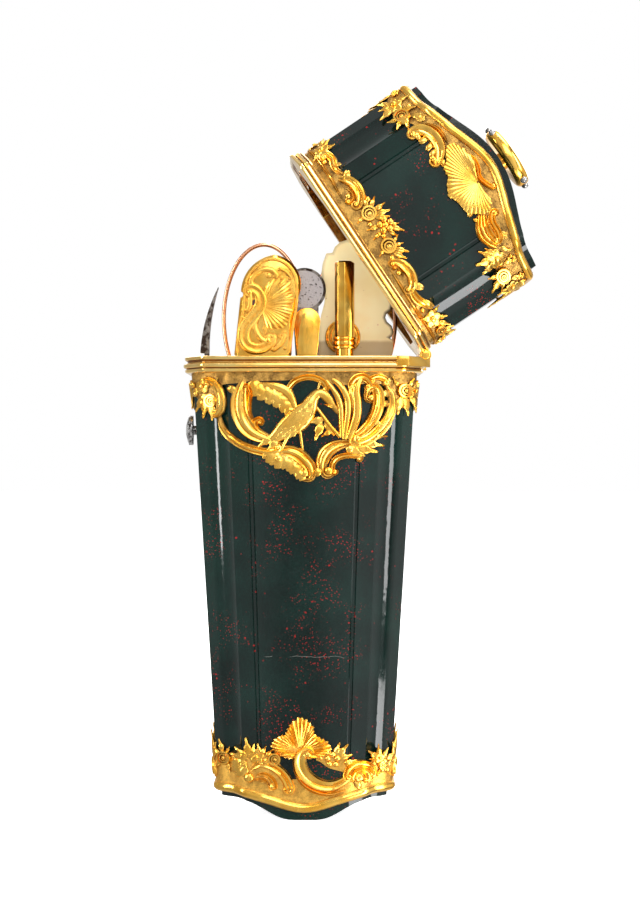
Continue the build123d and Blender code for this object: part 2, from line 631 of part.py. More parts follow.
def other_hand(shape, layer, new_layer):
    """The same piece for the other hand, in the other layer."""
    turned = Pos(-SCISSOR_X, 0, 0) * shape
    return Pos(SCISSOR_X, new_layer - layer, 0) * mirror(turned, about=Plane.YZ)


front_bow, back_bow = front_half + BOW_STEP, back_half - BOW_STEP
nodes["left_bow"] = bow(front_bow)
nodes["right_bow"] = other_hand(nodes["left_bow"], front_bow, back_bow)
nodes["front_scissor_half"] = scissor_half(front_half, front_bow)
nodes["back_scissor_half"] = other_hand(scissor_half(back_half, back_bow), back_half, back_half)
scissor_depth = 2 * HALF_THICK + SCISSOR_GAP
at_screw = Pos(SCISSOR_X, SCISSOR_PIVOT)
screw = band(at_screw * Circle(SCREW_RADIUS), SCISSOR_LAYER, scissor_depth + 0.1)
for side in (-1, 1):
    seat = SCISSOR_LAYER + side * (scissor_depth / 2 + MOUNT_FIT + SCREW_HEAD / 2)
    screw += band(at_screw * Circle(SCREW_RADIUS + SCREW_RIM), seat, SCREW_HEAD)
nodes["scissor_screw"] = screw

# Spring catch: a leaf along the wall, and a claw that snaps through the lid's catch plate
wall = STONE_WALL + LINER_WALL


def leaf_x(z):
    """Outer face of the leaf: it follows the tapered liner."""
    return -(HALF_WIDTH - wall) * taper(z) + LEAF_GAP


shoulder_z = RIM_PART + 0.05 + CATCH_THICK + CATCH_GAP
claw_tip = (SLOT_OUTER + 2.4, CLAW_TIP)
claw_face = make_face([
    Line((leaf_x(LATCH_ROOT), LATCH_ROOT - 1.5), (leaf_x(-1), -1.0)),
    Line((leaf_x(-1), -1.0), (SLOT_OUTER + 0.05, shoulder_z)),
    Line((SLOT_OUTER + 0.05, shoulder_z), (SLOT_OUTER - 0.65, shoulder_z + 0.05)),
    ThreePointArc((SLOT_OUTER - 0.65, shoulder_z + 0.05), (SLOT_OUTER + 0.25, 6.6), claw_tip),
    ThreePointArc(claw_tip, (SLOT_OUTER + 1.1, 6.0), (leaf_x(-1) + 0.85, 0.0)),
    Line((leaf_x(-1) + 0.85, 0.0), (leaf_x(-3) + LEAF_THICK, -3.0)),
    Line((leaf_x(-3) + LEAF_THICK, -3.0), (leaf_x(LATCH_ROOT) + LEAF_THICK, LATCH_ROOT - 1.5)),
    Line((leaf_x(LATCH_ROOT) + LEAF_THICK, LATCH_ROOT - 1.5), (leaf_x(LATCH_ROOT), LATCH_ROOT - 1.5))])
latch = band(claw_face, 0.0, LATCH_WIDTH)
at_rivet = Pos(leaf_x(LATCH_ROOT) - 0.1, 0, LATCH_ROOT) * Rot(0, 90, 0)
latch -= at_rivet * Cylinder(LATCH_RIVET + 0.1, 4.0)
nodes["latch_spring"] = latch
rivet_length = LEAF_THICK + 0.35
latch_rivet = Cylinder(LATCH_RIVET, rivet_length + 0.35, align=upright)
latch_rivet += Pos(0, 0, rivet_length) * Cylinder(
    LATCH_RIVET + LATCH_RIVET_HEAD, LATCH_RIVET_HEAD, align=upright)
nodes["latch_rivet"] = at_rivet * latch_rivet

# Push button in the left side
button_back = -HALF_WIDTH * taper(BUTTON_Z + BUTTON_HALF_HEIGHT) - BUTTON_TRAVEL - PRESS_GAP
button_face = -HALF_WIDTH * taper(BUTTON_Z) - BUTTON_PROUD
stem_end = leaf_x(BUTTON_Z) - 0.08
to_left = Pos(button_back, 0, BUTTON_Z) * Rot(0, -90, 0)
collet = to_left * extrude(Ellipse(BUTTON_HALF_HEIGHT, BUTTON_HALF_WIDTH), amount=COLLET_THICK)
collet += Pos(button_back - 0.1, 0, BUTTON_Z) * Rot(0, 90, 0) * Cylinder(
    BUTTON_STEM, stem_end - button_back + 0.1, align=upright)
nodes["button_collet"] = collet


def cut_stone(half_height, half_width, thick):
    """Rose-cut stone: an eight-sided girdle under a smaller table."""
    def girdle(share, lift, turn):
        points = []
        for i in range(8):
            angle = math.radians(45 * i + turn)
            points.append((half_height * share * math.cos(angle), half_width * share * math.sin(angle)))
        return Pos(0, 0, lift) * Polygon(*points, align=None)
    low = loft([girdle(1.0, 0, 0), girdle(0.86, thick * 0.45, 0)], ruled=True)
    return low + loft([girdle(0.86, thick * 0.45, 0), girdle(0.4, thick, 0)], ruled=True)


stone_seat = Pos(button_back - COLLET_THICK, 0, BUTTON_Z) * Rot(0, -90, 0)
nodes["button_stone"] = stone_seat * cut_stone(
    BUTTON_HALF_HEIGHT - 0.25, BUTTON_HALF_WIDTH - 0.2, button_back - COLLET_THICK - button_face)

# Fitted block with a well for each implement


def well(points, layer, depth):
    """Cavity for a flat tool: its outline with room all round, open at the top."""
    return band(points, layer, depth + 2 * SLOT_GAP)


def both_sides(half, middle):
    """Closed outline from the points of its right half, alike on both sides of a middle."""
    return [(middle + x, z) for x, z in half] + [(middle - x, z) for x, z in reversed(half)]


block = hollow(LINER_FLOOR + LINER_WALL + 0.1, BLOCK_TOP, wall + BLOCK_GAP)
knife_well = [
    (-11.9, WELL_TOP), (-1.9, WELL_TOP), (-1.9, 0.0), (-3.2, -4.3), (-3.9, -5.0), (-4.5, -34.0),
    (-5.0, BLADE_TIP - SLOT_GAP), (-7.7, BLADE_TIP - SLOT_GAP), (-10.2, -4.3), (-10.9, -4.3), (-11.9, 0.0)]
block -= well(knife_well, KNIFE_LAYER, KNIFE_THICK)
half_well = [(2.0, WELL_TOP), (1.95, -0.3), (0.85, TWEEZER_TIP - SLOT_GAP)]
block -= well(both_sides(half_well, TWEEZER_X), TWEEZER_LAYER, TWEEZER_DEPTH)
mirror_well = [
    (-1.6, WELL_TOP), (2.7, WELL_TOP), (2.5, -4.3), (1.7, MIRROR_TANG - SLOT_GAP),
    (-0.7, MIRROR_TANG - SLOT_GAP), (-1.5, -4.3)]
block -= well(mirror_well, MIRROR_LAYER, MIRROR_THICK)
tablet_well = [
    (1.9, WELL_TOP), (15.2, WELL_TOP), (15.0, 0.0), (12.0, TABLET_FOOT - SLOT_GAP),
    (2.8, TABLET_FOOT - SLOT_GAP), (1.95, 0.0)]
block -= well(tablet_well, TABLET_LAYER, stack)
half_well = [
    (15.6, WELL_TOP), (15.6, -0.5), (9.6, -8.0), (2.6, SCISSOR_PIVOT - 0.5), (2.0, SCISSOR_PIVOT - 3.0),
    (1.2, SCISSOR_TIP - SLOT_GAP)]
block -= well(both_sides(half_well, SCISSOR_X), SCISSOR_LAYER, scissor_depth + 2 * SCREW_HEAD)
well_radius = PENCIL_STEM + SLOT_GAP
pencil_well = Pos(0, 0, PENCIL_TIP + 9.0) * Cylinder(well_radius, WELL_TOP - PENCIL_TIP, align=upright)
pencil_well += Pos(0, 0, PENCIL_TIP - SLOT_GAP) * Cone(0.6, well_radius, 9.0 + SLOT_GAP, align=upright)
block -= at_pencil * pencil_well
channel_low = LATCH_ROOT - 2.0
channel_edge = leaf_x(LATCH_ROOT) - 0.1 + rivet_length + LATCH_RIVET_HEAD + CHANNEL_ROOM
channel = Pos(channel_edge - 2.0, 0, (channel_low + 1.0) / 2) * Box(4.0, LATCH_WIDTH + 0.8, 1.0 - channel_low)
block -= channel
nodes["tool_block"] = biggest(block)

# Lid, drawn closed
lid = {}
keep_lid = serpentine(LID_END, LID_SWELL, -5.0)
lid_top = LID_END + LID_SWELL + 0.5
for name, solid in panels(LID_RIM, lid_top, keep_lid).items():
    lid[f"lid_{name}"] = solid
cap_zone = serpentine(LID_END + CAP_THICK, LID_SWELL, -5.0) - keep_lid
lid["lid_cap_stone"] = end_plate(cap_zone, LID_END - 1.0, lid_top + CAP_THICK)

lid_liner = hollow(LID_RIM, LID_ROOF, STONE_WALL + MOUNT_FIT) - hollow(0.0, LID_ROOF - LINER_WALL, wall)
hook_room = Pos(SLOT_OUTER - 0.4, 0, 3.5) * Box(2.0, LATCH_WIDTH + 0.8, 5.4)
lid["lid_liner"] = lid_liner - hook_room
plate_low = RIM_PART + 0.05
plate_back = SLOT_OUTER - 1.5
plate_long = PLATE_EDGE - plate_back
plate_x = (plate_back + PLATE_EDGE) / 2
plate = Pos(plate_x, 0, plate_low + CATCH_THICK / 2) * Box(plate_long, 2 * PLATE_HALF, CATCH_THICK)
claw_slot = Box(SLOT_INNER - SLOT_OUTER, LATCH_WIDTH + 0.4, 3.0)
plate -= Pos((SLOT_OUTER + SLOT_INNER) / 2, 0, plate_low) * claw_slot
lid["catch_plate"] = plate
lid_layers = [
    (RIM_PART, 0.75, BEAD_OUT), (0.75, 0.95, -0.2), (0.95, 1.6, 0.05), (1.6, LID_RIM, -0.3)]
knuckle_web = Pos(HINGE_X - 1.2, 0, RIM_PART + 0.75) * Box(2.4, 2 * LID_KNUCKLE, 1.3)
lid_knuckle = knuckle(KNUCKLE_RADIUS, -LID_KNUCKLE, LID_KNUCKLE) + knuckle_web
lid_knuckle -= knuckle(PIN_RADIUS + PIN_FIT, -20, 20)
lid["lid_knuckle"] = lid_knuckle
ear_room = both_ends(knuckle(KNUCKLE_RADIUS + KNUCKLE_GAP, -EAR_END - 1.0, -LID_KNUCKLE))
plate_bed = Pos(plate_x, 0, 0) * Box(plate_long, 2 * PLATE_HALF, 2 * (plate_low + CATCH_THICK))
lid["lid_rim"] = rim(lid_layers, 0.0, LID_RIM + 1) - ear_room - lid_knuckle - plate_bed - hook_room
lid["lid_rim"] = biggest(lid["lid_rim"] - knuckle(PIN_RADIUS + PIN_FIT, -20, 20))
all_of_lid = serpentine(LID_END + 0.1, LID_SWELL, -60.0)
lid["lid_lower_mount"] = biggest(cut_mount(lid_garland(), LID_RIM + MOUNT_FIT, 11.0, all_of_lid))
lid["lid_upper_mount"] = biggest(cut_mount(lid_crest(), 10.0, lid_top, all_of_lid))

cap_top = LID_END + LID_SWELL + CAP_THICK
stem_low = cap_top + MOUNT_FIT
lid["knob_stem"] = Pos(0, 0, stem_low) * Cylinder(KNOB_STEM, KNOB_Z - stem_low, align=upright)
knob = Pos(0, 0, KNOB_Z) * extrude(Ellipse(KNOB_LENGTH / 2, KNOB_DEPTH / 2), amount=KNOB_THICK)
knob = fillet(knob.edges(), KNOB_THICK * 0.42)
stones = Part()
for end in (0, 180):
    for turn in (-30, 0, 30):
        angle = math.radians(end + turn)
        edge_x, edge_y = KNOB_LENGTH / 2 * math.cos(angle), KNOB_DEPTH / 2 * math.sin(angle)
        stones += Pos(edge_x, edge_y, KNOB_Z + KNOB_THICK / 2) * Sphere(BRILLIANT)
lid["knob"] = knob - stones
lid["knob_stones"] = stones

to_open = Pos(HINGE_X, 0, HINGE_Z) * Rot(0, LID_ANGLE, 0) * Pos(-HINGE_X, 0, -HINGE_Z)
for name, solid in lid.items():
    nodes[name] = to_open * solid

os.makedirs("parts", exist_ok=True)
for name, solid in nodes.items():
    export_step(Pos(0, 0, MOUTH_HEIGHT) * solid, f"parts/{name}.step")
print(len(nodes), "nodes")
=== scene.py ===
import json
import logging
import math
from contextlib import contextmanager
from dataclasses import dataclass, replace
from enum import Enum
from typing import Callable, Iterator, Sequence

import bmesh
import bpy
from mathutils import Matrix, Vector


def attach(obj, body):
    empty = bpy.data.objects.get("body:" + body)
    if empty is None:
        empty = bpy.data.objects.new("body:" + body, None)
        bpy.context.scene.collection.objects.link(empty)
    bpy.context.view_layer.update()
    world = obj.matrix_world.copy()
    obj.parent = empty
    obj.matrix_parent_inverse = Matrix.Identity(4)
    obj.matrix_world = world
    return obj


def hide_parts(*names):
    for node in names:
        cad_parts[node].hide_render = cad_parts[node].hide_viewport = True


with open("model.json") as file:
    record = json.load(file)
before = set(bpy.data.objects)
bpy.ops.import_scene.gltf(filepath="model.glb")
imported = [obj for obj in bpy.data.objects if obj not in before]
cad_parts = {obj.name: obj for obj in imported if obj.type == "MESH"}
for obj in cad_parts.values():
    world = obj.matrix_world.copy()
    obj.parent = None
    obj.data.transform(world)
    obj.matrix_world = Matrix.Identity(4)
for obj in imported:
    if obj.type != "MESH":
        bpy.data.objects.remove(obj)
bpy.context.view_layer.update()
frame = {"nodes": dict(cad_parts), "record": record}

RECORD_SLOTS = {material["slot"] for material in frame["record"]["materials"]}
MM = 0.001
MOUTH = 76.9
CONE = 315.0
HALF_WIDTH = 18.8
SIDES = (
    "front_panel", "back_panel", "left_side", "right_side",
    "front_left_flute", "front_right_flute", "back_left_flute", "back_right_flute",
)
log = logging.getLogger("toiletry_case")

Point = tuple[float, float]
Spot = tuple[float, float, float]
Route = tuple[Point, ...]
Edge = Callable[[float], float]


class Part(Enum):
    """Body of the case that a piece rides on."""

    CASE = "case"
    LID = "lid"
    BUTTON = "button"
    LATCH = "latch"
    KNIFE = "knife"
    MIRROR = "mirror"
    TWEEZERS = "tweezers"
    TABLETS = "tablets"
    PENCIL = "pencil"


class Line(Enum):
    """Cross-section of a chased line: points across from -1 to 1, with their heights."""

    TRIPLE = (
        (-1.0, 0.0), (-0.98, 0.42), (-0.84, 0.66), (-0.68, 0.6), (-0.54, 0.4), (-0.4, 0.62), (-0.12, 0.95),
        (0.16, 0.9), (0.36, 0.6), (0.46, 0.42), (0.62, 0.58), (0.82, 0.66), (0.97, 0.42), (1.0, 0.0),
    )
    DOUBLE = (
        (-1.0, 0.0), (-0.96, 0.4), (-0.75, 0.78), (-0.45, 0.8), (-0.12, 0.42), (0.02, 0.4), (0.3, 0.75),
        (0.7, 0.82), (0.95, 0.4), (1.0, 0.0),
    )
    FLUTES = (
        (-1.0, 0.0), (-0.96, 0.45), (-0.84, 0.7), (-0.7, 0.62), (-0.6, 0.4), (-0.5, 0.62), (-0.34, 0.92),
        (-0.2, 0.84), (-0.1, 0.52), (0.0, 0.8), (0.14, 1.0), (0.3, 0.84), (0.38, 0.48), (0.48, 0.72),
        (0.62, 0.84), (0.74, 0.66), (0.8, 0.42), (0.9, 0.6), (0.98, 0.4), (1.0, 0.0),
    )
    ROLL = (
        (-1.0, 0.0), (-0.82, 0.45), (-0.52, 0.8), (-0.18, 0.98), (0.18, 0.98), (0.52, 0.8), (0.82, 0.45),
        (1.0, 0.0),
    )
    ROUND = (
        (-1.0, 0.0), (-0.92, 0.42), (-0.7, 0.76), (-0.36, 0.96), (0.0, 1.0), (0.36, 0.96), (0.7, 0.76),
        (0.92, 0.42), (1.0, 0.0),
    )


# Shader maths


class Socket:
    """Output socket of a node, with the arithmetic that the finishes use."""

    def __init__(self, finish: "Nodes", link: bpy.types.NodeSocket) -> None:
        """Keeps the node builder and the socket."""
        self.finish = finish
        self.link = link

    def _math(self, operation: str, *values: object) -> "Socket":
        """Adds one Math node on these values."""
        return self.finish.add("ShaderNodeMath", {"operation": operation}, dict(enumerate(values)))

    def __add__(self, other: object) -> "Socket":
        """Sum with a number or a socket."""
        return self._math("ADD", self, other)

    def __sub__(self, other: object) -> "Socket":
        """Difference from a number or a socket."""
        return self._math("SUBTRACT", self, other)

    def __rsub__(self, other: object) -> "Socket":
        """A number less this socket."""
        return self._math("SUBTRACT", other, self)

    def __mul__(self, other: object) -> "Socket":
        """Product with a number or a socket."""
        return self._math("MULTIPLY", self, other)

    def __abs__(self) -> "Socket":
        """Value without its sign."""
        return self._math("ABSOLUTE", self)

    def ramp(self, low: float, high: float) -> "Socket":
        """Smooth step from 0 at low to 1 at high."""
        settings = {"interpolation_type": "SMOOTHSTEP"}
        return self.finish.add("ShaderNodeMapRange", settings, {"Value": self, 1: low, 2: high})


class Nodes:
    """Node builder of one material."""

    def __init__(self, name: str) -> None:
        """Starts an empty material that ends in a Principled shader."""
        self.material = bpy.data.materials.new(name)
        self.material.use_nodes = True
        self.tree = self.material.node_tree
        self.shader = self.tree.nodes["Principled BSDF"]
        self.place = self.add("ShaderNodeTexCoord", {}, {}, "Object")

    def add(self, kind: str, settings: dict, inputs: dict, output: object = 0) -> Socket:
        """Adds a node.

        Args:
            kind: type of the node.
            settings: properties to set first.
            inputs: values or sockets for its inputs, by name or number.
            output: name or number of the output that is wanted.

        Returns:
            The wrapped output.
        """
        node = self.tree.nodes.new(kind)
        for name, value in settings.items():
            setattr(node, name, value)
        for name, value in inputs.items():
            self.join(node.inputs[name], value)
        return Socket(self, node.outputs[output])

    def join(self, socket: bpy.types.NodeSocket, value: object) -> None:
        """Links or sets an input."""
        if isinstance(value, Socket):
            self.tree.links.new(value.link, socket)
        elif isinstance(value, tuple) and socket.type == "RGBA":
            socket.default_value = (*value, 1.0)
        else:
            socket.default_value = value

    def axis(self, name: str) -> Socket:
        """Place along one axis of the object, in metres."""
        return self.add("ShaderNodeSeparateXYZ", {}, {0: self.place}, name)

    def noise(self, scale: float, detail: float = 3.0, rough: float = 0.5) -> Socket:
        """Noise over the object, with its scale in features to the metre."""
        inputs = {"Vector": self.place, "Scale": scale, "Detail": detail, "Roughness": rough}
        return self.add("ShaderNodeTexNoise", {}, inputs)

    def cells(self, scale: float) -> Socket:
        """Distance from the middles of scattered cells, with their number to the metre."""
        return self.add("ShaderNodeTexVoronoi", {}, {"Vector": self.place, "Scale": scale}, "Distance")

    def mix(self, share: object, first: object, second: object) -> Socket:
        """Colour between two colours."""
        return self.add("ShaderNodeMix", {"data_type": "RGBA"}, {0: share, 6: first, 7: second}, 2)

    def attribute(self, name: str) -> Socket:
        """Number stored on the vertices under a name."""
        return self.add("ShaderNodeAttribute", {"attribute_name": name}, {}, "Fac")

    def bump(self, height: Socket, strength: float, depth: float) -> None:
        """Feeds the shader's normal from a height, with the depth in metres."""
        inputs = {"Height": height, "Strength": strength, "Distance": depth}
        self.join(self.shader.inputs["Normal"], self.add("ShaderNodeBump", {}, inputs))

    def surface(self, **inputs: object) -> bpy.types.Material:
        """Sets the shader's inputs, named with underscores for spaces."""
        for name, value in inputs.items():
            self.join(self.shader.inputs[name.replace("_", " ").title().replace("Ior", "IOR")], value)
        return self.material


# Finishes


@dataclass(frozen=True)
class Pattern:
    """Noise that is cut to a mask: its features to the metre, where the mask starts and where it is full."""

    scale: float
    low: float
    high: float
    detail: float = 3.0
    rough: float = 0.5

    def mask(self, n: Nodes) -> Socket:
        """Mask, 0 where the noise is below low and 1 where it is above high."""
        return n.noise(self.scale, self.detail, self.rough).ramp(self.low, self.high)


@dataclass(frozen=True)
class Bloodstone:
    """Polished dark green stone with small red specks, and a hairline low on the front panel."""

    name: str = "bloodstone"
    dark: tuple = (0.0016, 0.0055, 0.0045)
    green: tuple = (0.0025, 0.0115, 0.009)
    deep: tuple = (0.002, 0.014, 0.0095)
    red: tuple = (0.24, 0.007, 0.006)
    chip: tuple = (0.1, 0.1, 0.09)
    speck_cells: float = 2300.0
    blot_cells: float = 950.0
    crowded: float = 0.002
    sparse: float = 0.013
    crack_height: float = 27.3
    crack_wander: float = 1.6
    crack_reach: float = 7.0
    crack_width: float = 0.08
    crack_strength: float = 0.5
    front: tuple = (-6.0, -5.0)
    clouds: Pattern = Pattern(90.0, 0.38, 0.68, 4.0)
    depths: Pattern = Pattern(34.0, 0.5, 0.68, 2.0)
    blots: Pattern = Pattern(190.0, 0.56, 0.64, 3.0, 0.6)
    breaks: Pattern = Pattern(900.0, 0.36, 0.5, 2.0)
    scuffs: Pattern = Pattern(2600.0, 0.4, 0.75, 2.0)

    def _crack(self, n: Nodes) -> Socket:
        """Mask of the hairline that crosses the front panel low down."""
        x, y, z = (n.axis(name) for name in "XYZ")
        level = z + (n.noise(260.0, 3.0) - 0.5) * (self.crack_wander * MM) - self.crack_height * MM
        width = self.crack_width * MM
        line = (1 - abs(level).ramp(0.4 * width, width)) * self.crack_strength
        inside = 1 - abs(x).ramp((self.crack_reach - 1) * MM, self.crack_reach * MM)
        broken = self.breaks.mask(n)
        return line * inside * broken * (1 - y.ramp(self.front[0] * MM, self.front[1] * MM))

    def _specks(self, n: Nodes) -> Socket:
        """Mask of the red specks, which crowd together in the middle of the panels."""
        fray = n.noise(3000.0, 2.0) * 0.25
        off_middle = abs(n.axis("X")).ramp(self.crowded, self.sparse)
        crowd = (n.noise(120.0, 4.0, 0.7) - off_middle * 0.07).ramp(0.45, 0.65)
        small = (1 - (n.cells(self.speck_cells) + fray).ramp(0.3, 0.42)) * crowd
        rare = self.blots.mask(n)
        return small * 0.9 + (1 - (n.cells(self.blot_cells) + fray).ramp(0.22, 0.34)) * rare * 0.8

    def make(self) -> bpy.types.Material:
        """Builds the material."""
        n = Nodes(self.name)
        ground = n.mix(self.clouds.mask(n), self.dark, self.green)
        ground = n.mix(self.depths.mask(n), ground, self.deep)
        colour = n.mix(self._specks(n), ground, self.red)
        colour = n.mix(self._crack(n), colour, self.chip)
        scuff = self.scuffs.mask(n)
        n.bump(n.noise(420.0, 3.0), 0.1, 0.00004)
        return n.surface(base_color=colour, roughness=scuff * 0.05 + 0.06, specular_ior_level=0.4)


@dataclass(frozen=True)
class Gold:
    """Yellow gold: painted shade over a mottled, matted ground below the height low, bright above the height
    high.
    """

    name: str
    bright: tuple = (0.97, 0.59, 0.12)
    warm: tuple = (0.91, 0.45, 0.05)
    # Dark brown of the painted shade in the hollows.
    recess_shade: tuple = (0.2, 0.08, 0.02)
    ground: tuple = (0.85, 0.48, 0.08)
    low: float = 0.3
    high: float = 0.7
    rough: float = 0.17
    grain: float = 0.3
    patchy: float = 0.6
    relief: bool = True
    tint: Pattern = Pattern(300.0, 0.3, 0.72)
    smears: Pattern = Pattern(900.0, 0.25, 0.8)
    patches: Pattern = Pattern(700.0, 0.4, 0.62, 4.0, 0.65)

    def make(self) -> bpy.types.Material:
        """Builds the material."""
        n = Nodes(self.name)
        metal = n.mix(self.tint.mask(n), self.bright, self.warm)
        fine = n.noise(5200.0, 2.0)
        rough = self.smears.mask(n) * 0.12 + self.rough
        if self.relief:
            # Low stored relief gets painted shade, a mottled brown towards recess_shade, and real matting in
            # roughness and bump.
            height = n.attribute("relief") + (n.noise(1500.0, 3.0) - 0.5) * self.grain
            matting_and_shade = 1 - height.ramp(self.low, self.high)
            patches = self.patches.mask(n) * self.patchy
            floor = n.mix(patches + (1 - fine.ramp(0.35, 0.6)) * 0.35, self.ground, self.recess_shade)
            metal = n.mix(matting_and_shade, metal, floor)
            rough = rough + matting_and_shade * 0.25
            n.bump(fine * (matting_and_shade * 0.9), 0.6, 0.0001)
        else:
            n.bump(fine, 0.1, 0.00003)
        return n.surface(base_color=metal, metallic=1.0, roughness=rough)


@dataclass(frozen=True)
class Metal:
    """Plain metal with stains and fine scratches."""

    name: str
    light: tuple
    stain: tuple
    rough: float = 0.25
    stain_scale: float = 700.0
    stain_low: float = 0.5
    pits: float = 0.15

    def make(self) -> bpy.types.Material:
        """Builds the material."""
        n = Nodes(self.name)
        stains = n.noise(self.stain_scale, 4.0, 0.6).ramp(self.stain_low, self.stain_low + 0.16)
        colour = n.mix(stains, self.light, self.stain)
        n.bump(n.noise(2300.0, 4.0, 0.6), self.pits, 0.00015)
        return n.surface(base_color=colour, metallic=1.0, roughness=stains * 0.3 + self.rough)


@dataclass(frozen=True)
class Ivory:
    """Cream tablets: faint spots, a darker band above the block, painted shade on the notches, a painted
    glow.
    """

    name: str = "ivory"
    cream: tuple = (0.88, 0.73, 0.4)
    shade: tuple = (0.82, 0.65, 0.31)
    stain: tuple = (0.25, 0.13, 0.05)
    edge_shade: tuple = (0.05, 0.025, 0.012)
    dark_band_top: float = 2.9
    fade: tuple = (-0.0002, 0.0005)
    wander: float = 0.0006
    tint: Pattern = Pattern(160.0, 0.4, 0.7)
    spots: Pattern = Pattern(1500.0, 0.72, 0.78, 2.0)

    def make(self) -> bpy.types.Material:
        """Builds the material."""
        n = Nodes(self.name)
        colour = n.mix(self.tint.mask(n), self.cream, self.shade)
        colour = n.mix(self.spots.mask(n) * 0.5, colour, self.stain)
        # Darker and browner below dark_band_top, in the spots' brown.
        top = (MOUTH + self.dark_band_top) * MM
        height = n.axis("Z") + (n.noise(300.0) - 0.5) * self.wander
        band = 1 - height.ramp(top + self.fade[0], top + self.fade[1])
        colour = n.mix(band * 0.6, colour, self.stain)
        # Painted shade on the leaves' edges, where the edge mask is set: full in the notches, half round the
        # head.
        colour = n.mix(n.attribute("edge") * 0.9, colour, self.edge_shade)
        n.bump(n.noise(700.0, 3.0), 0.08, 0.00005)
        # A faint glow in the ivory's own colour: painted light that lifts the tablets in the lid's shade.
        return n.surface(base_color=colour, roughness=n.noise(500.0) * 0.1 + 0.3, coat_weight=0.15,
                         emission_color=colour, emission_strength=0.2)


@dataclass(frozen=True)
class CutStone:
    """Clear faceted stones in blackened settings."""

    name: str = "cut_stone"
    clear: tuple = (0.45, 0.44, 0.42)
    black: tuple = (0.1, 0.09, 0.08)
    clouds: Pattern = Pattern(1500.0, 0.35, 0.7)

    def make(self) -> bpy.types.Material:
        """Builds the material."""
        n = Nodes(self.name)
        cloudy = self.clouds.mask(n)
        colour = n.mix(cloudy, self.clear, self.black)
        return n.surface(base_color=colour, metallic=0.75, roughness=cloudy * 0.15 + 0.08, coat_weight=0.8)


@dataclass(frozen=True)
class Lining:
    """Dark lining of the fitted block: short pile that has browned."""

    name: str = "lined_wood"
    pile: tuple = (0.035, 0.013, 0.009)
    worn: tuple = (0.09, 0.04, 0.02)
    wear: Pattern = Pattern(500.0, 0.35, 0.7)

    def make(self) -> bpy.types.Material:
        """Builds the material."""
        n = Nodes(self.name)
        tufts = n.noise(4200.0, 3.0)
        n.bump(tufts, 0.4, 0.0001)
        colour = n.mix(self.wear.mask(n), self.pile, self.worn)
        return n.surface(base_color=colour, roughness=tufts * 0.1 + 0.75)


@dataclass(frozen=True)
class Board:
    """Pale studio floor."""

    name: str = "pale_floor"
    light: tuple = (0.95, 0.95, 0.95)
    grey: tuple = (0.93, 0.93, 0.93)
    white: tuple = (1.0, 1.0, 1.0)

    def make(self) -> bpy.types.Material:
        """Builds the material."""
        n = Nodes(self.name)
        colour = n.mix(n.noise(6.0), self.grey, self.light)
        return n.surface(
            base_color=colour, roughness=0.9, emission_color=self.white, emission_strength=0.85)


FINISHES = (
    Gold("polished_gold", relief=False, rough=0.12),
    Gold("chased_gold", ground=(0.6, 0.34, 0.08), recess_shade=(0.12, 0.06, 0.02)),
    Gold("lower_gold", ground=(0.9, 0.52, 0.1), recess_shade=(0.42, 0.2, 0.04), patchy=0.5),
    Gold("rim_gold", (1.0, 0.72, 0.26), (1.0, 0.62, 0.16), rough=0.1, ground=(0.3, 0.13, 0.03), grain=0.1),
    Gold("knife_gold", high=0.95, ground=(0.8, 0.4, 0.06), recess_shade=(0.35, 0.14, 0.02), patchy=0.5),
    Gold("gilt_lining", (0.35, 0.17, 0.06), (0.16, 0.06, 0.03), relief=False, rough=0.35),
    Gold("copper_gold", (0.93, 0.5, 0.3), (0.8, 0.36, 0.2), relief=False, rough=0.15),
    Metal("steel", (0.56, 0.55, 0.54), (0.2, 0.17, 0.15)),
    Metal("dark_steel", (0.2, 0.18, 0.16), (0.05, 0.035, 0.028), 0.42, 900.0, 0.42, 0.7),
    Metal("silver", (0.5, 0.49, 0.48), (0.04, 0.035, 0.03), 0.22, 1500.0, 0.42, 0.5),
    Metal("old_mirror", (0.42, 0.39, 0.39), (0.08, 0.07, 0.07), 0.5, 2300.0, 0.55, 0.4),
    Metal("lead", (0.12, 0.12, 0.13), (0.05, 0.05, 0.05), 0.5),
    Ivory(), CutStone(), Lining(), Board(),
)


class Finishes:
    """All finishes, by the record's material slot where they have one."""

    def __init__(self) -> None:
        """Builds every material."""
        self.by_name = {"green_stone": Bloodstone().make()}
        self.by_name.update((finish.name, finish.make()) for finish in FINISHES)

    def dress(self, piece: bpy.types.Object, slot: str) -> None:
        """Gives a piece one finish all over."""
        piece.data.materials.clear()
        piece.data.materials.append(self.by_name[slot])
        slot in RECORD_SLOTS

    def place(self, piece: bpy.types.Object, slot: str, body: Part, node: str = "") -> None:
        """Dresses a finished piece and puts it on its body.

        Args:
            piece: the new piece.
            slot: its finish.
            body: the body that it rides on.
            node: the CAD node that it stands for, if any.
        """
        self.dress(piece, slot)
        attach(piece, body.value)
        if node:
            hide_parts(node)
        log.info("%s: %d vertices", piece.name, len(piece.data.vertices))


# Modelling by hand


def select(*pieces: bpy.types.Object) -> None:
    """Selects these objects alone and makes the first one active."""
    bpy.ops.object.select_all(action="DESELECT")
    for piece in pieces:
        piece.select_set(True)
    bpy.context.view_layer.objects.active = pieces[0]


def linked(name: str, data: bpy.types.ID) -> bpy.types.Object:
    """New object in the scene."""
    piece = bpy.data.objects.new(name, data)
    bpy.context.scene.collection.objects.link(piece)
    return piece


def resized(piece: bpy.types.Object, scale: Spot) -> bpy.types.Object:
    """Scales the selected object and applies its place, turn and size."""
    piece.scale = scale
    bpy.ops.object.transform_apply(location=True, rotation=True, scale=True)
    return piece


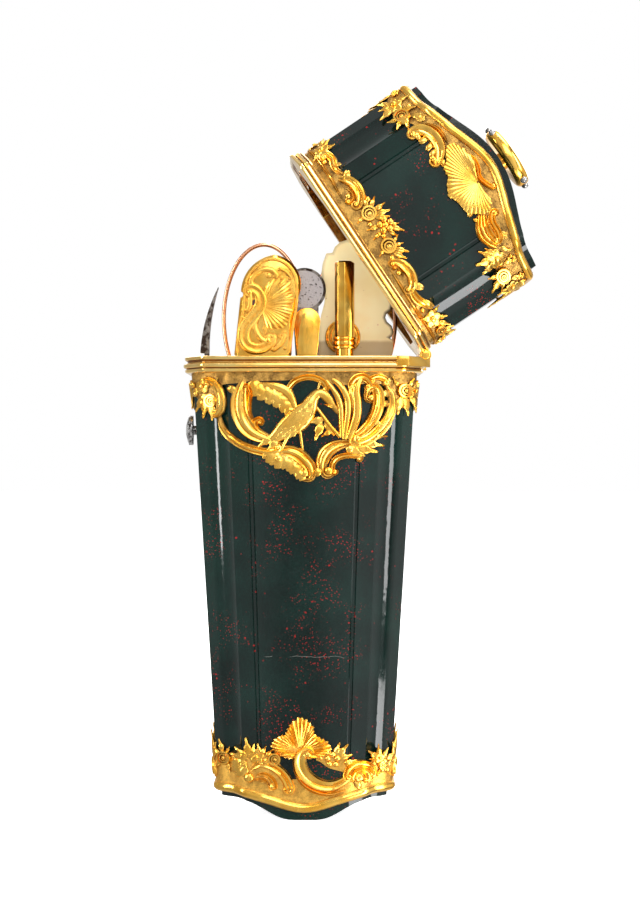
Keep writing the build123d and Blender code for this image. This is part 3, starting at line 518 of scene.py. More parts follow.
def primitive(make: Callable, scale: Spot = (1.0, 1.0, 1.0), **settings: object) -> bpy.types.Object:
    """Adds a basic shape, with nothing else selected.

    Args:
        make: operator that adds it.
        scale: its size on the three axes.
        settings: settings of the operator.

    Returns:
        The shape, unturned and unscaled.
    """
    bpy.ops.object.select_all(action="DESELECT")
    make(**settings)
    return resized(bpy.context.object, scale)


@contextmanager
def editing() -> Iterator[None]:
    """Edit mode of the active object, with everything selected."""
    bpy.ops.object.mode_set(mode="EDIT")
    bpy.ops.mesh.select_all(action="SELECT")
    yield
    bpy.ops.object.mode_set(mode="OBJECT")


def pick(piece: bpy.types.Object, test: Callable[[Vector], bool]) -> None:
    """Selects in edit mode the vertices that pass a test on their place."""
    mesh = bmesh.from_edit_mesh(piece.data)
    for part in (*mesh.faces, *mesh.edges):
        part.select = False
    for vertex in mesh.verts:
        vertex.select = test(vertex.co)
    mesh.select_flush_mode()
    bmesh.update_edit_mesh(piece.data)


def apply_modifier(piece: bpy.types.Object, kind: str, **settings: object) -> None:
    """Adds one modifier, sets it and applies it."""
    select(piece)
    modifier = piece.modifiers.new("work", kind)
    for name, value in settings.items():
        setattr(modifier, name, value)
    bpy.ops.object.modifier_apply(modifier="work")


def rounded(piece: bpy.types.Object, width: float, segments: int, degrees: float) -> None:
    """Rounds the edges of a piece that are sharper than an angle."""
    apply_modifier(piece, "BEVEL", width=width, segments=segments, limit_method="ANGLE",
                   angle_limit=math.radians(degrees), use_clamp_overlap=True)


def outwards(piece: bpy.types.Object) -> None:
    """Turns the faces of closed shells outwards."""
    select(piece)
    with editing():
        bpy.ops.mesh.normals_make_consistent(inside=False)


def smooth(piece: bpy.types.Object, degrees: float) -> None:
    """Shades a piece smooth across edges under an angle."""
    select(piece)
    bpy.ops.object.shade_smooth_by_angle(angle=math.radians(degrees))


def join(pieces: Sequence[bpy.types.Object], name: str) -> bpy.types.Object:
    """Joins meshes into one object."""
    select(*pieces)
    if len(pieces) > 1:
        bpy.ops.object.join()
    pieces[0].name = name
    return pieces[0]


def store(piece: bpy.types.Object, name: str, values: Sequence[float]) -> None:
    """Stores a number on every vertex of a piece."""
    piece.data.attributes.new(name, "FLOAT", "POINT").data.foreach_set("value", values)


def between(points: Sequence[Point]) -> Edge:
    """Smooth line through points, level at both ends, as a height for each place across."""
    slopes = [0.0] * len(points)
    for i in range(1, len(points) - 1):
        (x0, y0), (x2, y2) = points[i - 1], points[i + 1]
        slopes[i] = (y2 - y0) / (x2 - x0)

    def height(x: float) -> float:
        """Height at x on the cubic between its two points."""
        if x <= points[0][0]:
            return points[0][1]
        for i in range(len(points) - 1):
            (x0, y0), (x1, y1) = points[i], points[i + 1]
            if x <= x1:
                run = x1 - x0
                t = (x - x0) / run
                rise = (3 - 2 * t) * t * t
                lean = slopes[i] * run * t * (1 - t) ** 2 - slopes[i + 1] * run * t * t * (1 - t)
                return y0 + (y1 - y0) * rise + lean
        return points[-1][1]
    return height


def narrowing(z: float) -> float:
    """Size at a height above the mouth, as a share of that at the mouth: the lid is straight."""
    return 1 + min(z, 0.0) / CONE


def wave(end: float, swell: float, level: float = 0.9, knee: Point = (0.56, 0.38)) -> Edge:
    """Serpentine edge of the stone: level at the corners, with a swell in the middle.

    Args:
        end: height at the corners.
        swell: height of the middle above them.
        level: share of the half width where it gets level.
        knee: place on the way, as shares of that reach and of the swell.

    Returns:
        The edge, as a height for each place across.
    """
    reach = HALF_WIDTH * narrowing(end) * level
    right = between(((0.0, end + swell), (reach * knee[0], end + swell * knee[1]), (reach, end)))
    return lambda x: right(abs(x))


@dataclass(frozen=True)
class Section:
    """Outer skin of the stone case: a quarter, from the middle of the front to that of the side.

    As far as turn, places are counted across, as they are seen from the front. Blur is the width over
    which corners are softened, and step the distance between places.
    """

    corner: Route = (
        (0.0, -11.5), (8.85, -11.5), (12.9, -10.4), (14.6, -8.5), (17.0, -7.2), (HALF_WIDTH, -5.3),
        (HALF_WIDTH, 0.0),
    )
    turn: float = 17.0
    blur: float = 0.7
    step: float = 0.1

    def table(self) -> list[tuple[float, ...]]:
        """Places and outward directions along the quarter, softened at the corners."""
        places, at = [], []
        for (x0, y0), (x1, y1) in zip(self.corner, self.corner[1:]):
            seen = x1 - x0 if x1 <= self.turn else math.hypot(x1 - x0, y1 - y0)
            count = max(1, round(seen / self.step))
            at += [(x0 + (x1 - x0) * i / count, y0 + (y1 - y0) * i / count) for i in range(count)]
        at.append(self.corner[-1])
        whole = [(-x, y) for x, y in reversed(at[1:])] + at + [(x, -y) for x, y in reversed(at[:-1])]
        reach = round(self.blur / self.step)
        middle = len(at) - 1
        soft = []
        for i in range(middle - 1, middle + len(at) + 1):
            near = whole[i - reach:i + reach + 1]
            soft.append(tuple(sum(p[axis] for p in near) / len(near) for axis in (0, 1)))
        for before, here, after in zip(soft, soft[1:], soft[2:]):
            run, rise = after[0] - before[0], after[1] - before[1]
            length = math.hypot(run, rise) or 1.0
            places.append((*here, rise / length, -run / length))
        return places


class Skin:
    """Lays flat ornament on the case: x across, z up from the mouth, h out from the stone."""

    def __init__(self, section: Section) -> None:
        """Works out the section once."""
        self.step = section.step
        self.quarter = section.table()
        self.length = (len(self.quarter) - 1) * section.step

    def lay(self, x: float, z: float, h: float) -> Vector:
        """Place in millimetres of a flat point on the front half of the case.

        Args:
            x: place across, which runs on round the narrow side.
            z: height above the mouth.
            h: height above the stone.

        Returns:
            The point, with its height still measured from the mouth.
        """
        share = narrowing(z)
        along = abs(x) / share
        y_side = -1.0
        if along > self.length:
            along, y_side = 2 * self.length - along, 1.0
        at = min(max(along / self.step, 0.0), len(self.quarter) - 1.001)
        i = int(at)
        part = at - i
        first, second = self.quarter[i], self.quarter[i + 1]
        px, py, nx, ny = (a + (b - a) * part for a, b in zip(first, second))
        side = 1.0 if x >= 0 else -1.0
        return Vector((side * (px * share + nx * h), -y_side * (py * share + ny * h), z))


class Seat(Enum):
    """Where a laid ornament ends up."""

    BODY_FRONT = 0
    BODY_BACK = 1
    LID_FRONT = 2
    LID_BACK = 3


@dataclass(frozen=True)
class Hinge:
    """Hinge line of the lid and the angle at which it stands open."""

    x: float = 20.2
    z: float = 0.4
    angle: float = 56.2

    def open(self) -> Matrix:
        """Turn from the closed lid to the open one, in millimetres from the mouth."""
        away = Matrix.Translation((self.x, 0, self.z))
        return away @ Matrix.Rotation(math.radians(self.angle), 4, "Y") @ away.inverted()


HINGE = Hinge()
SKIN = Skin(Section())


def seat_matrix(seat: Seat) -> Matrix:
    """Transform from a place on the closed front, in millimetres, to the real place in metres."""
    real = Matrix.Scale(MM, 4) @ Matrix.Translation((0, 0, MOUTH))
    if seat in (Seat.LID_FRONT, Seat.LID_BACK):
        real = real @ HINGE.open()
    if seat in (Seat.BODY_BACK, Seat.LID_BACK):
        real = real @ Matrix.Rotation(math.pi, 4, "Z")
    return real


class Stamps:
    """Small shapes that are modelled once, a millimetre long along x, and copied many times."""

    def __init__(self) -> None:
        """Models each shape."""
        self.meshes = {
            "leaf": self._leaf(), "petal": self._petal(), "bead": self._bead(), "ring": self._ring(),
            "lobe": self._lobe(),
        }

    @staticmethod
    def _ball(segments: int, rings: int, size: Spot) -> bpy.types.Object:
        """Ball with its poles along x, from x 0 to 1, scaled about its middle and left in edit mode."""
        piece = primitive(bpy.ops.mesh.primitive_uv_sphere_add, segments=segments, ring_count=rings,
                          radius=0.5, rotation=(0, math.pi / 2, 0))
        resized(piece, size)
        bpy.ops.object.mode_set(mode="EDIT")
        bpy.ops.mesh.select_all(action="SELECT")
        bpy.ops.transform.translate(value=(0.5, 0, 0))
        return piece

    @staticmethod
    def _move(piece: bpy.types.Object, test: Callable[[Vector], bool], way: Spot) -> None:
        """Moves the vertices that pass a test."""
        pick(piece, test)
        bpy.ops.transform.translate(value=way)

    @staticmethod
    def _pinch(piece: bpy.types.Object, test: Callable[[Vector], bool], size: Spot, x: float) -> None:
        """Scales the vertices that pass a test about a place on the x axis."""
        pick(piece, test)
        bpy.ops.transform.resize(value=size, center_override=(x, 0, 0))

    @staticmethod
    def _keep(piece: bpy.types.Object) -> bpy.types.Mesh:
        """Leaves edit mode and keeps the mesh alone."""
        bpy.ops.object.mode_set(mode="OBJECT")
        mesh = piece.data
        bpy.data.objects.remove(piece)
        return mesh

    def _leaf(self) -> bpy.types.Mesh:
        """Pointed leaf with a sunk midrib and a lifted tip."""
        piece = self._ball(12, 9, (1.0, 0.4, 0.3))
        self._pinch(piece, lambda p: p.x > 0.7, (1.0, 0.5, 0.7), 1.0)
        self._pinch(piece, lambda p: p.x < 0.2, (1.0, 0.6, 0.8), 0.0)
        self._move(piece, lambda p: p.z > 0.06 and abs(p.y) < 0.04, (0, 0, -0.07))
        self._move(piece, lambda p: p.x > 0.8, (0.12, 0, 0.06))
        return self._keep(piece)

    def _petal(self) -> bpy.types.Mesh:
        """Round petal, hollowed in the middle."""
        piece = self._ball(12, 8, (1.0, 0.86, 0.34))
        self._move(piece, lambda p: p.z > 0.12 and 0.25 < p.x < 0.75 and abs(p.y) < 0.2, (0, 0, -0.1))
        return self._keep(piece)

    def _bead(self) -> bpy.types.Mesh:
        """Round bead centred on x 0."""
        piece = self._ball(12, 8, (1.0, 1.0, 1.0))
        self._move(piece, lambda p: True, (-0.5, 0, 0))
        return self._keep(piece)

    def _lobe(self) -> bpy.types.Mesh:
        """Scalloped lobe of rockwork: a wide leaf with a notched end."""
        piece = self._ball(14, 8, (1.0, 0.7, 0.3))
        self._move(piece, lambda p: p.x > 0.8 and abs(p.y) < 0.08, (-0.16, 0, 0))
        self._move(piece, lambda p: p.z > 0.06 and abs(p.y) < 0.06, (0, 0, -0.08))
        return self._keep(piece)

    def _ring(self) -> bpy.types.Mesh:
        """Ring of a rose, one across."""
        return self._keep(primitive(bpy.ops.mesh.primitive_torus_add, major_segments=16, minor_segments=6,
                                    major_radius=0.39, minor_radius=0.11))


# Ornament of the mounts


@dataclass(frozen=True)
class Scroll:
    """One chased scroll: its route, size, section, which ends curl and the size of their eyes."""

    route: Route
    width: float
    height: float = 0.8
    curls: tuple[bool, bool] = (True, True)
    line: Line = Line.TRIPLE
    widths: tuple[float, ...] = ()
    eye: float = 0.42


@dataclass(frozen=True)
class Stalk:
    """Line that thins to its ends, or has its own width at each point."""

    route: Route
    width: float
    height: float
    widths: tuple[float, ...] = ()
    ends: Point = (0.2, 0.2)


@dataclass(frozen=True)
class Ground:
    """Matted sheet between two edges."""

    top: Edge
    bottom: Edge
    half: float
    thick: float = 0.28
    middle: float = 0.0


@dataclass(frozen=True)
class Shell:
    """Frilled shell: fine ribs that rise from its root to the line of its rim, over broad folds."""

    root: Point
    rim: Route
    ribs: int
    low: float = 0.4
    high: float = 1.0
    groove: float = 0.17
    folds: float = 3.0


class Relief:
    """Ornament that is modelled flat in millimetres, x across and y up, and then laid in its place.

    The sizes, drifts and rises of a bloom, berry or rose are shares of its radius, and TALL is a share
    of the stamp's own height. A shell's REACH is a share of its own, its RISE and DROP are millimetres.
    """

    STROKE_TIP = (0.25, 0.25)
    STROKE_SWELL = 0.6
    CURVE_STEPS = 5
    CURL_STEPS = 5
    CURL_TURN = 52.0
    CURL_SHRINK = 0.12
    CURL_WIDTH = 0.95
    CURL_THINNING = 0.1
    EYE_BEAD = 1.25
    EYE_LIFT = 0.45
    FLOWER_LIFT = 0.5
    FLOWER_TURN = 18.0
    FIFTH = 72.0
    PETAL_TALL = 0.9
    BLOOM_EYE = 0.62
    BLOOM_EYE_RISE = 0.22
    BERRY = 1.15
    ROSE_RINGS = (2.1, 1.3, 0.65)
    ROSE_TURN = 25.0
    ROSE_DRIFT = 0.08
    ROSE_RISE = 0.12
    ROSE_TALL = 1.7
    MOUND = 1.7
    MOUND_SINK = 0.4
    MOUND_TALL = 0.3
    HEART = 0.35
    HEART_DRIFT = 0.14
    HEART_RISE = 0.3
    SHEET = (120, 10)
    SHELL_ROWS = 9
    RIB_STEPS = 6
    SHELL_THICK = 0.3
    SHELL_ROOT = 0.05
    SHELL_BOW = 1.4
    RIB_REACH = 0.025
    FOLD_REACH = 0.02
    FOLD_RISE = 0.12
    LIP = 0.8
    LIP_DROP = 0.4

    profiles: dict[Line, bpy.types.Object] = {}

    def __init__(self, stamps: Stamps) -> None:
        """Starts with no pieces."""
        self.stamps = stamps
        self.pieces: list[bpy.types.Object] = []

    def stamp(self, kind: str, x: float, z: float, size: float, turn: float = 0.0, lift: float = 0.3,
              wide: float = 1.0, tall: float = 1.0) -> None:
        """Copies one small shape to its place.

        Args:
            kind: name of the shape.
            x: place across.
            z: place up.
            size: its length.
            turn: degrees from pointing right.
            lift: height of its middle above the stone.
            wide: width as a share of the model's.
            tall: height as a share of the model's.
        """
        mesh = self.stamps.meshes[kind].copy()
        spot = Matrix.Translation((x, z, lift)) @ Matrix.Rotation(math.radians(turn), 4, "Z")
        mesh.transform(spot @ Matrix.Diagonal((size, size * wide, size * tall, 1.0)))
        self.pieces.append(linked("chased", mesh))

    @classmethod
    def _curve(cls, name: str, kind: str, points: Sequence[Point]) -> bpy.types.Object:
        """Flat curve along points."""
        curve = bpy.data.curves.new(name, "CURVE")
        curve.dimensions = "2D"
        curve.resolution_u = cls.CURVE_STEPS
        spline = curve.splines.new(kind)
        spline.points.add(len(points) - 1)
        for point, (across, up) in zip(spline.points, points):
            point.co = (across, up, 0, 1)
        return linked(curve.name, curve)

    @classmethod
    def _profile(cls, line: Line) -> bpy.types.Object:
        """Cross-section curve of a line, made once."""
        if line not in cls.profiles:
            cls.profiles[line] = cls._curve(f"profile_{line.name.lower()}", "POLY", line.value)
            cls.profiles[line].data.splines[0].use_cyclic_u = True
        return cls.profiles[line]

    def line(self, points: Sequence[Point], width: float, height: float, line: Line = Line.ROUND,
             lift: float = 0.1, ends: Point = (1.0, 1.0), widths: Sequence[float] = ()) -> None:
        """Sweeps a chased line along a smooth route.

        Args:
            points: route, across and up.
            width: full width at its widest.
            height: height above its base.
            line: cross-section.
            lift: height of its base above the stone.
            ends: width at each end as a share.
            widths: width at each point as a share, in place of ends.
        """
        stroke = self._curve("stroke", "NURBS", points)
        curve, spline = stroke.data, stroke.data.splines[0]
        curve.bevel_mode = "OBJECT"
        curve.bevel_object = self._profile(line)
        curve.use_fill_caps = True
        for i, point in enumerate(spline.points):
            share = i / (len(points) - 1)
            swell = math.sin(math.pi * share) ** self.STROKE_SWELL if 0 < share < 1 else 0.0
            base = ends[0] + (ends[1] - ends[0]) * share
            point.radius = width / 2 * (widths[i] if widths else base + (1 - base) * swell)
        spline.order_u = 3
        spline.use_endpoint_u = True
        select(stroke)
        bpy.ops.object.convert(target="MESH")
        stroke = bpy.context.object
        scale = Matrix.Diagonal((1, 1, 2 * height / width, 1))
        stroke.data.transform(Matrix.Translation((0, 0, lift)) @ scale)
        self.pieces.append(stroke)

    def scroll(self, scroll: Scroll, lift: float = 0.1) -> None:
        """Sweeps a line that curls on round a bead at its ends.

        Args:
            scroll: the scroll.
            lift: height of its base above the stone.
        """
        route, shares = list(scroll.route), list(scroll.widths)
        radius = scroll.width * scroll.eye
        for curled in scroll.curls:
            route.reverse()
            shares.reverse()
            if not curled:
                continue
            third, back, tip = route[-3:]
            cross = (back[0] - third[0]) * (tip[1] - back[1]) - (back[1] - third[1]) * (tip[0] - back[0])
            side = 1 if cross >= 0 else -1
            heading = math.atan2(tip[1] - back[1], tip[0] - back[0])
            x = tip[0] - side * radius * math.sin(heading)
            z = tip[1] + side * radius * math.cos(heading)
            for i in range(1, self.CURL_STEPS + 1):
                angle = heading - side * math.pi / 2 + side * math.radians(self.CURL_TURN * i)
                reach = radius * (1 - self.CURL_SHRINK * i)
                route.append((x + reach * math.cos(angle), z + reach * math.sin(angle)))
            if shares:
                tip_share = shares[-1]
                shares += [tip_share * (self.CURL_WIDTH - self.CURL_THINNING * i)
                           for i in range(self.CURL_STEPS)]
            self.stamp("bead", x, z, radius * self.EYE_BEAD, lift=lift + scroll.height * self.EYE_LIFT)
        self.line(route, scroll.width, scroll.height, scroll.line, lift, self.STROKE_TIP, shares)

    def bloom(self, x: float, z: float, radius: float) -> None:
        """Flower of five petals about a bead."""
        for i in range(5):
            self.stamp("petal", x, z, radius, self.FLOWER_TURN + self.FIFTH * i, self.FLOWER_LIFT,
                       tall=self.PETAL_TALL)
        self.stamp("bead", x, z, radius * self.BLOOM_EYE,
                   lift=self.FLOWER_LIFT + radius * self.BLOOM_EYE_RISE)

    def rose(self, x: float, z: float, radius: float) -> None:
        """Rose: rings that rise to a bead, over a low mound."""
        lift = self.FLOWER_LIFT
        for i, share in enumerate(self.ROSE_RINGS):
            self.stamp("ring", x + self.ROSE_DRIFT * i * radius, z, radius * share, self.ROSE_TURN * i,
                       lift + self.ROSE_RISE * i * radius, tall=self.ROSE_TALL)
        self.stamp("bead", x, z, radius * self.MOUND, lift=lift - self.MOUND_SINK * radius,
                   tall=self.MOUND_TALL)
        self.stamp("bead", x + self.HEART_DRIFT * radius, z, radius * self.HEART,
                   lift=lift + self.HEART_RISE * radius)

    def berries(self, x: float, z: float, radius: float) -> None:
        """Five beads in a ring."""
        for i in range(5):
            angle = math.radians(90 + self.FIFTH * i)
            self.stamp("bead", x + radius * math.cos(angle), z + radius * math.sin(angle),
                       radius * self.BERRY, lift=self.FLOWER_LIFT)

    def _grid(self, size: tuple[int, int], spot: Callable[[float, float], Spot], thick: float,
              offset: float) -> None:
        """Adds a thickened grid.

        Args:
            size: faces across and up.
            spot: place of a point, from its shares across and up.
            thick: thickness.
            offset: side that it is thickened to, 1 up or -1 down.
        """
        piece = primitive(bpy.ops.mesh.primitive_grid_add, x_subdivisions=size[0],
                          y_subdivisions=size[1], size=1.0)
        for vertex in piece.data.vertices:
            vertex.co = spot(vertex.co.x + 0.5, vertex.co.y + 0.5)
        apply_modifier(piece, "SOLIDIFY", thickness=thick, offset=offset)
        self.pieces.append(piece)

    def palmette(self, shell: Shell) -> None:
        """Models a frilled shell."""
        root, rim = shell.root, shell.rim

        def spot(along: float, out: float) -> Spot:
            """Place of a point from its shares along the rim and out from the root."""
            at = min(along * (len(rim) - 1), len(rim) - 1.001)
            i, part = int(at), at - int(at)
            x, z = (a + (b - a) * part for a, b in zip(rim[i], rim[i + 1]))
            ridge = math.cos(2 * math.pi * shell.ribs * along)
            fold = math.cos(2 * math.pi * shell.folds * along) * out
            reach = self.SHELL_ROOT + (1 - self.SHELL_ROOT) * out
            reach = reach * (1 + (self.RIB_REACH * ridge + self.FOLD_REACH * fold) * out)
            lip = self.LIP_DROP * max(0.0, out - self.LIP) / (1 - self.LIP)
            bow = shell.low + (shell.high - shell.low) * out ** self.SHELL_BOW
            height = bow + shell.groove * ridge * out + self.FOLD_RISE * fold - lip
            return (root[0] + (x - root[0]) * reach, root[1] + (z - root[1]) * reach, height)

        self._grid((shell.ribs * self.RIB_STEPS, self.SHELL_ROWS), spot, self.SHELL_THICK, -1.0)

    def sheet(self, ground: Ground) -> None:
        """Models a sheet between its two edges."""
        left, right = ground.middle - ground.half, ground.middle + ground.half

        def spot(along: float, up: float) -> Spot:
            """Place of a point from its shares across and up."""
            x = left + (right - left) * along
            low, high = ground.bottom(x), ground.top(x)
            return (x, low + (high - low) * up, 0.0)

        self._grid(self.SHEET, spot, ground.thick, 1.0)

    def laid(self, name: str, place: Callable[[Vector], Vector], finish: Matrix,
             tall: float = 1.0) -> bpy.types.Object:
        """Joins the pieces, stores their height and lays a copy of them in its place.

        Args:
            name: name of the new piece.
            place: from the flat place to a place in millimetres.
            finish: from there to metres.
            tall: what the stored heights are multiplied by.

        Returns:
            The finished object.
        """
        whole = join([linked("copy", piece.data.copy()) for piece in self.pieces], name)
        whole.data.name = name
        outwards(whole)
        store(whole, "relief", [tall * vertex.co.z for vertex in whole.data.vertices])
        for vertex in whole.data.vertices:
            vertex.co = finish @ place(vertex.co)
        smooth(whole, 50.0)
        return whole

    def clear(self) -> None:
        """Removes the flat pieces."""
        for piece in self.pieces:
            bpy.data.objects.remove(piece)
        self.pieces = []

    @classmethod
    def put_profiles_away(cls) -> None:
        """Removes the cross-section curves."""
        for shape in cls.profiles.values():
            bpy.data.objects.remove(shape)
        cls.profiles = {}


@dataclass(frozen=True)
class Mount:
    """Pierced and chased gold mount that wraps the case, alike on front and back.

    Roses, blooms, berries and beads are (x, z, radius). Feathers are (x, z, lift). Leaves and lobes
    are (x, z) of the root and of the tip, and their width where it isn't the usual one.
    """

    name: str
    node: str
    body: Part
    seats: tuple[Seat, Seat]
    slot: str
    grounds: tuple[Ground, ...] = ()
    borders: tuple[tuple[Edge, float, float], ...] = ()
    scrolls: tuple[Scroll, ...] = ()
    stalks: tuple[Stalk, ...] = ()
    shells: tuple[Shell, ...] = ()
    roses: tuple[Spot, ...] = ()
    blooms: tuple[Spot, ...] = ()
    berries: tuple[Spot, ...] = ()
    beads: tuple[Spot, ...] = ()
    leaf: float = 1.1
    leaves: tuple[tuple[float, ...], ...] = ()
    lobe: float = 0.9
    lobes: tuple[tuple[float, ...], ...] = ()
    feathers: tuple[Spot, ...] = ()
    side_scrolls: tuple[Scroll, ...] = ()
    side_leaves: tuple[tuple[float, ...], ...] = ()

    BORDER_STEP = 0.7
    BORDER_HEIGHT = 0.75
    BORDER_LIFT = 0.05
    BEAD_LIFT = 0.4
    LEAF_LIFT = 0.45
    LEAF_TALLEST = 1.2
    LEAF_FULL = 2.0
    FEATHER = (1.5, 226.0)
    FEATHER_SHAPE = (1.5, 0.8)
    FULL_RELIEF = 0.9
    PRESSED = 0.4

    def draw(self, flat: Relief) -> None:
        """Models the whole ornament flat."""
        for ground in self.grounds:
            flat.sheet(ground)
        for edge, half, width in self.borders:
            count = round(half / self.BORDER_STEP)
            route = [(half * i / count, edge(half * i / count)) for i in range(-count, count + 1)]
            flat.line(route, width, self.BORDER_HEIGHT, Line.ROLL, self.BORDER_LIFT)
        for scroll in self.scrolls:
            flat.scroll(scroll)
        for stalk in self.stalks:
            flat.line(stalk.route, stalk.width, stalk.height, ends=stalk.ends, widths=stalk.widths)
        for shell in self.shells:
            flat.palmette(shell)
        flowers = ((flat.rose, self.roses), (flat.bloom, self.blooms), (flat.berries, self.berries))
        for shape, spots in flowers:
            for spot in spots:
                shape(*spot)
        for x, z, radius in self.beads:
            flat.stamp("bead", x, z, 2 * radius, lift=self.BEAD_LIFT)
        self._spread(flat, "leaf", self.leaves, self.leaf)
        self._spread(flat, "lobe", self.lobes, self.lobe)
        for x, z, lift in self.feathers:
            flat.stamp("leaf", x, z, *self.FEATHER, lift, *self.FEATHER_SHAPE)
        for side in (1, -1):
            for scroll in self.side_scrolls:
                flat.scroll(replace(scroll, route=tuple((side * x, z) for x, z in scroll.route)))
            mirrored = [(side * x0, z0, side * x1, z1, *wide) for x0, z0, x1, z1, *wide in self.side_leaves]
            self._spread(flat, "leaf", mirrored, self.leaf)

    def _spread(self, flat: Relief, kind: str, places: Sequence[tuple[float, ...]], usual: float) -> None:
        """Stamps leaves or lobes from their roots to their tips.

        Args:
            flat: the ornament.
            kind: name of the small shape.
            places: root, tip and, where it isn't the usual one, the width.
            usual: the usual width.
        """
        for x0, z0, x1, z1, *wide in places:
            length = math.hypot(x1 - x0, z1 - z0)
            turn = math.degrees(math.atan2(z1 - z0, x1 - x0))
            flat.stamp(kind, x0, z0, length, turn, self.LEAF_LIFT, *(wide or [usual]),
                       min(self.LEAF_TALLEST, self.LEAF_FULL / length))

    def _lay(self, spot: Vector) -> Vector:
        """Place on the case of a flat point, with the highest relief pressed down."""
        low, high = min(spot.z, self.FULL_RELIEF), max(spot.z - self.FULL_RELIEF, 0.0)
        return SKIN.lay(spot.x, spot.y, low + self.PRESSED * high)

    def build(self, stamps: Stamps, finishes: Finishes) -> None:
        """Models the mount, lays it on front and back and puts it in place of the CAD node."""
        flat = Relief(stamps)
        self.draw(flat)
        halves = [flat.laid(f"{self.name}_{seat.name.lower()}", self._lay, seat_matrix(seat))
                  for seat in self.seats]
        flat.clear()
        finishes.place(join(halves, self.name), self.slot, self.body, self.node)


BODY_SEATS = (Seat.BODY_FRONT, Seat.BODY_BACK)
LID_SEATS = (Seat.LID_FRONT, Seat.LID_BACK)


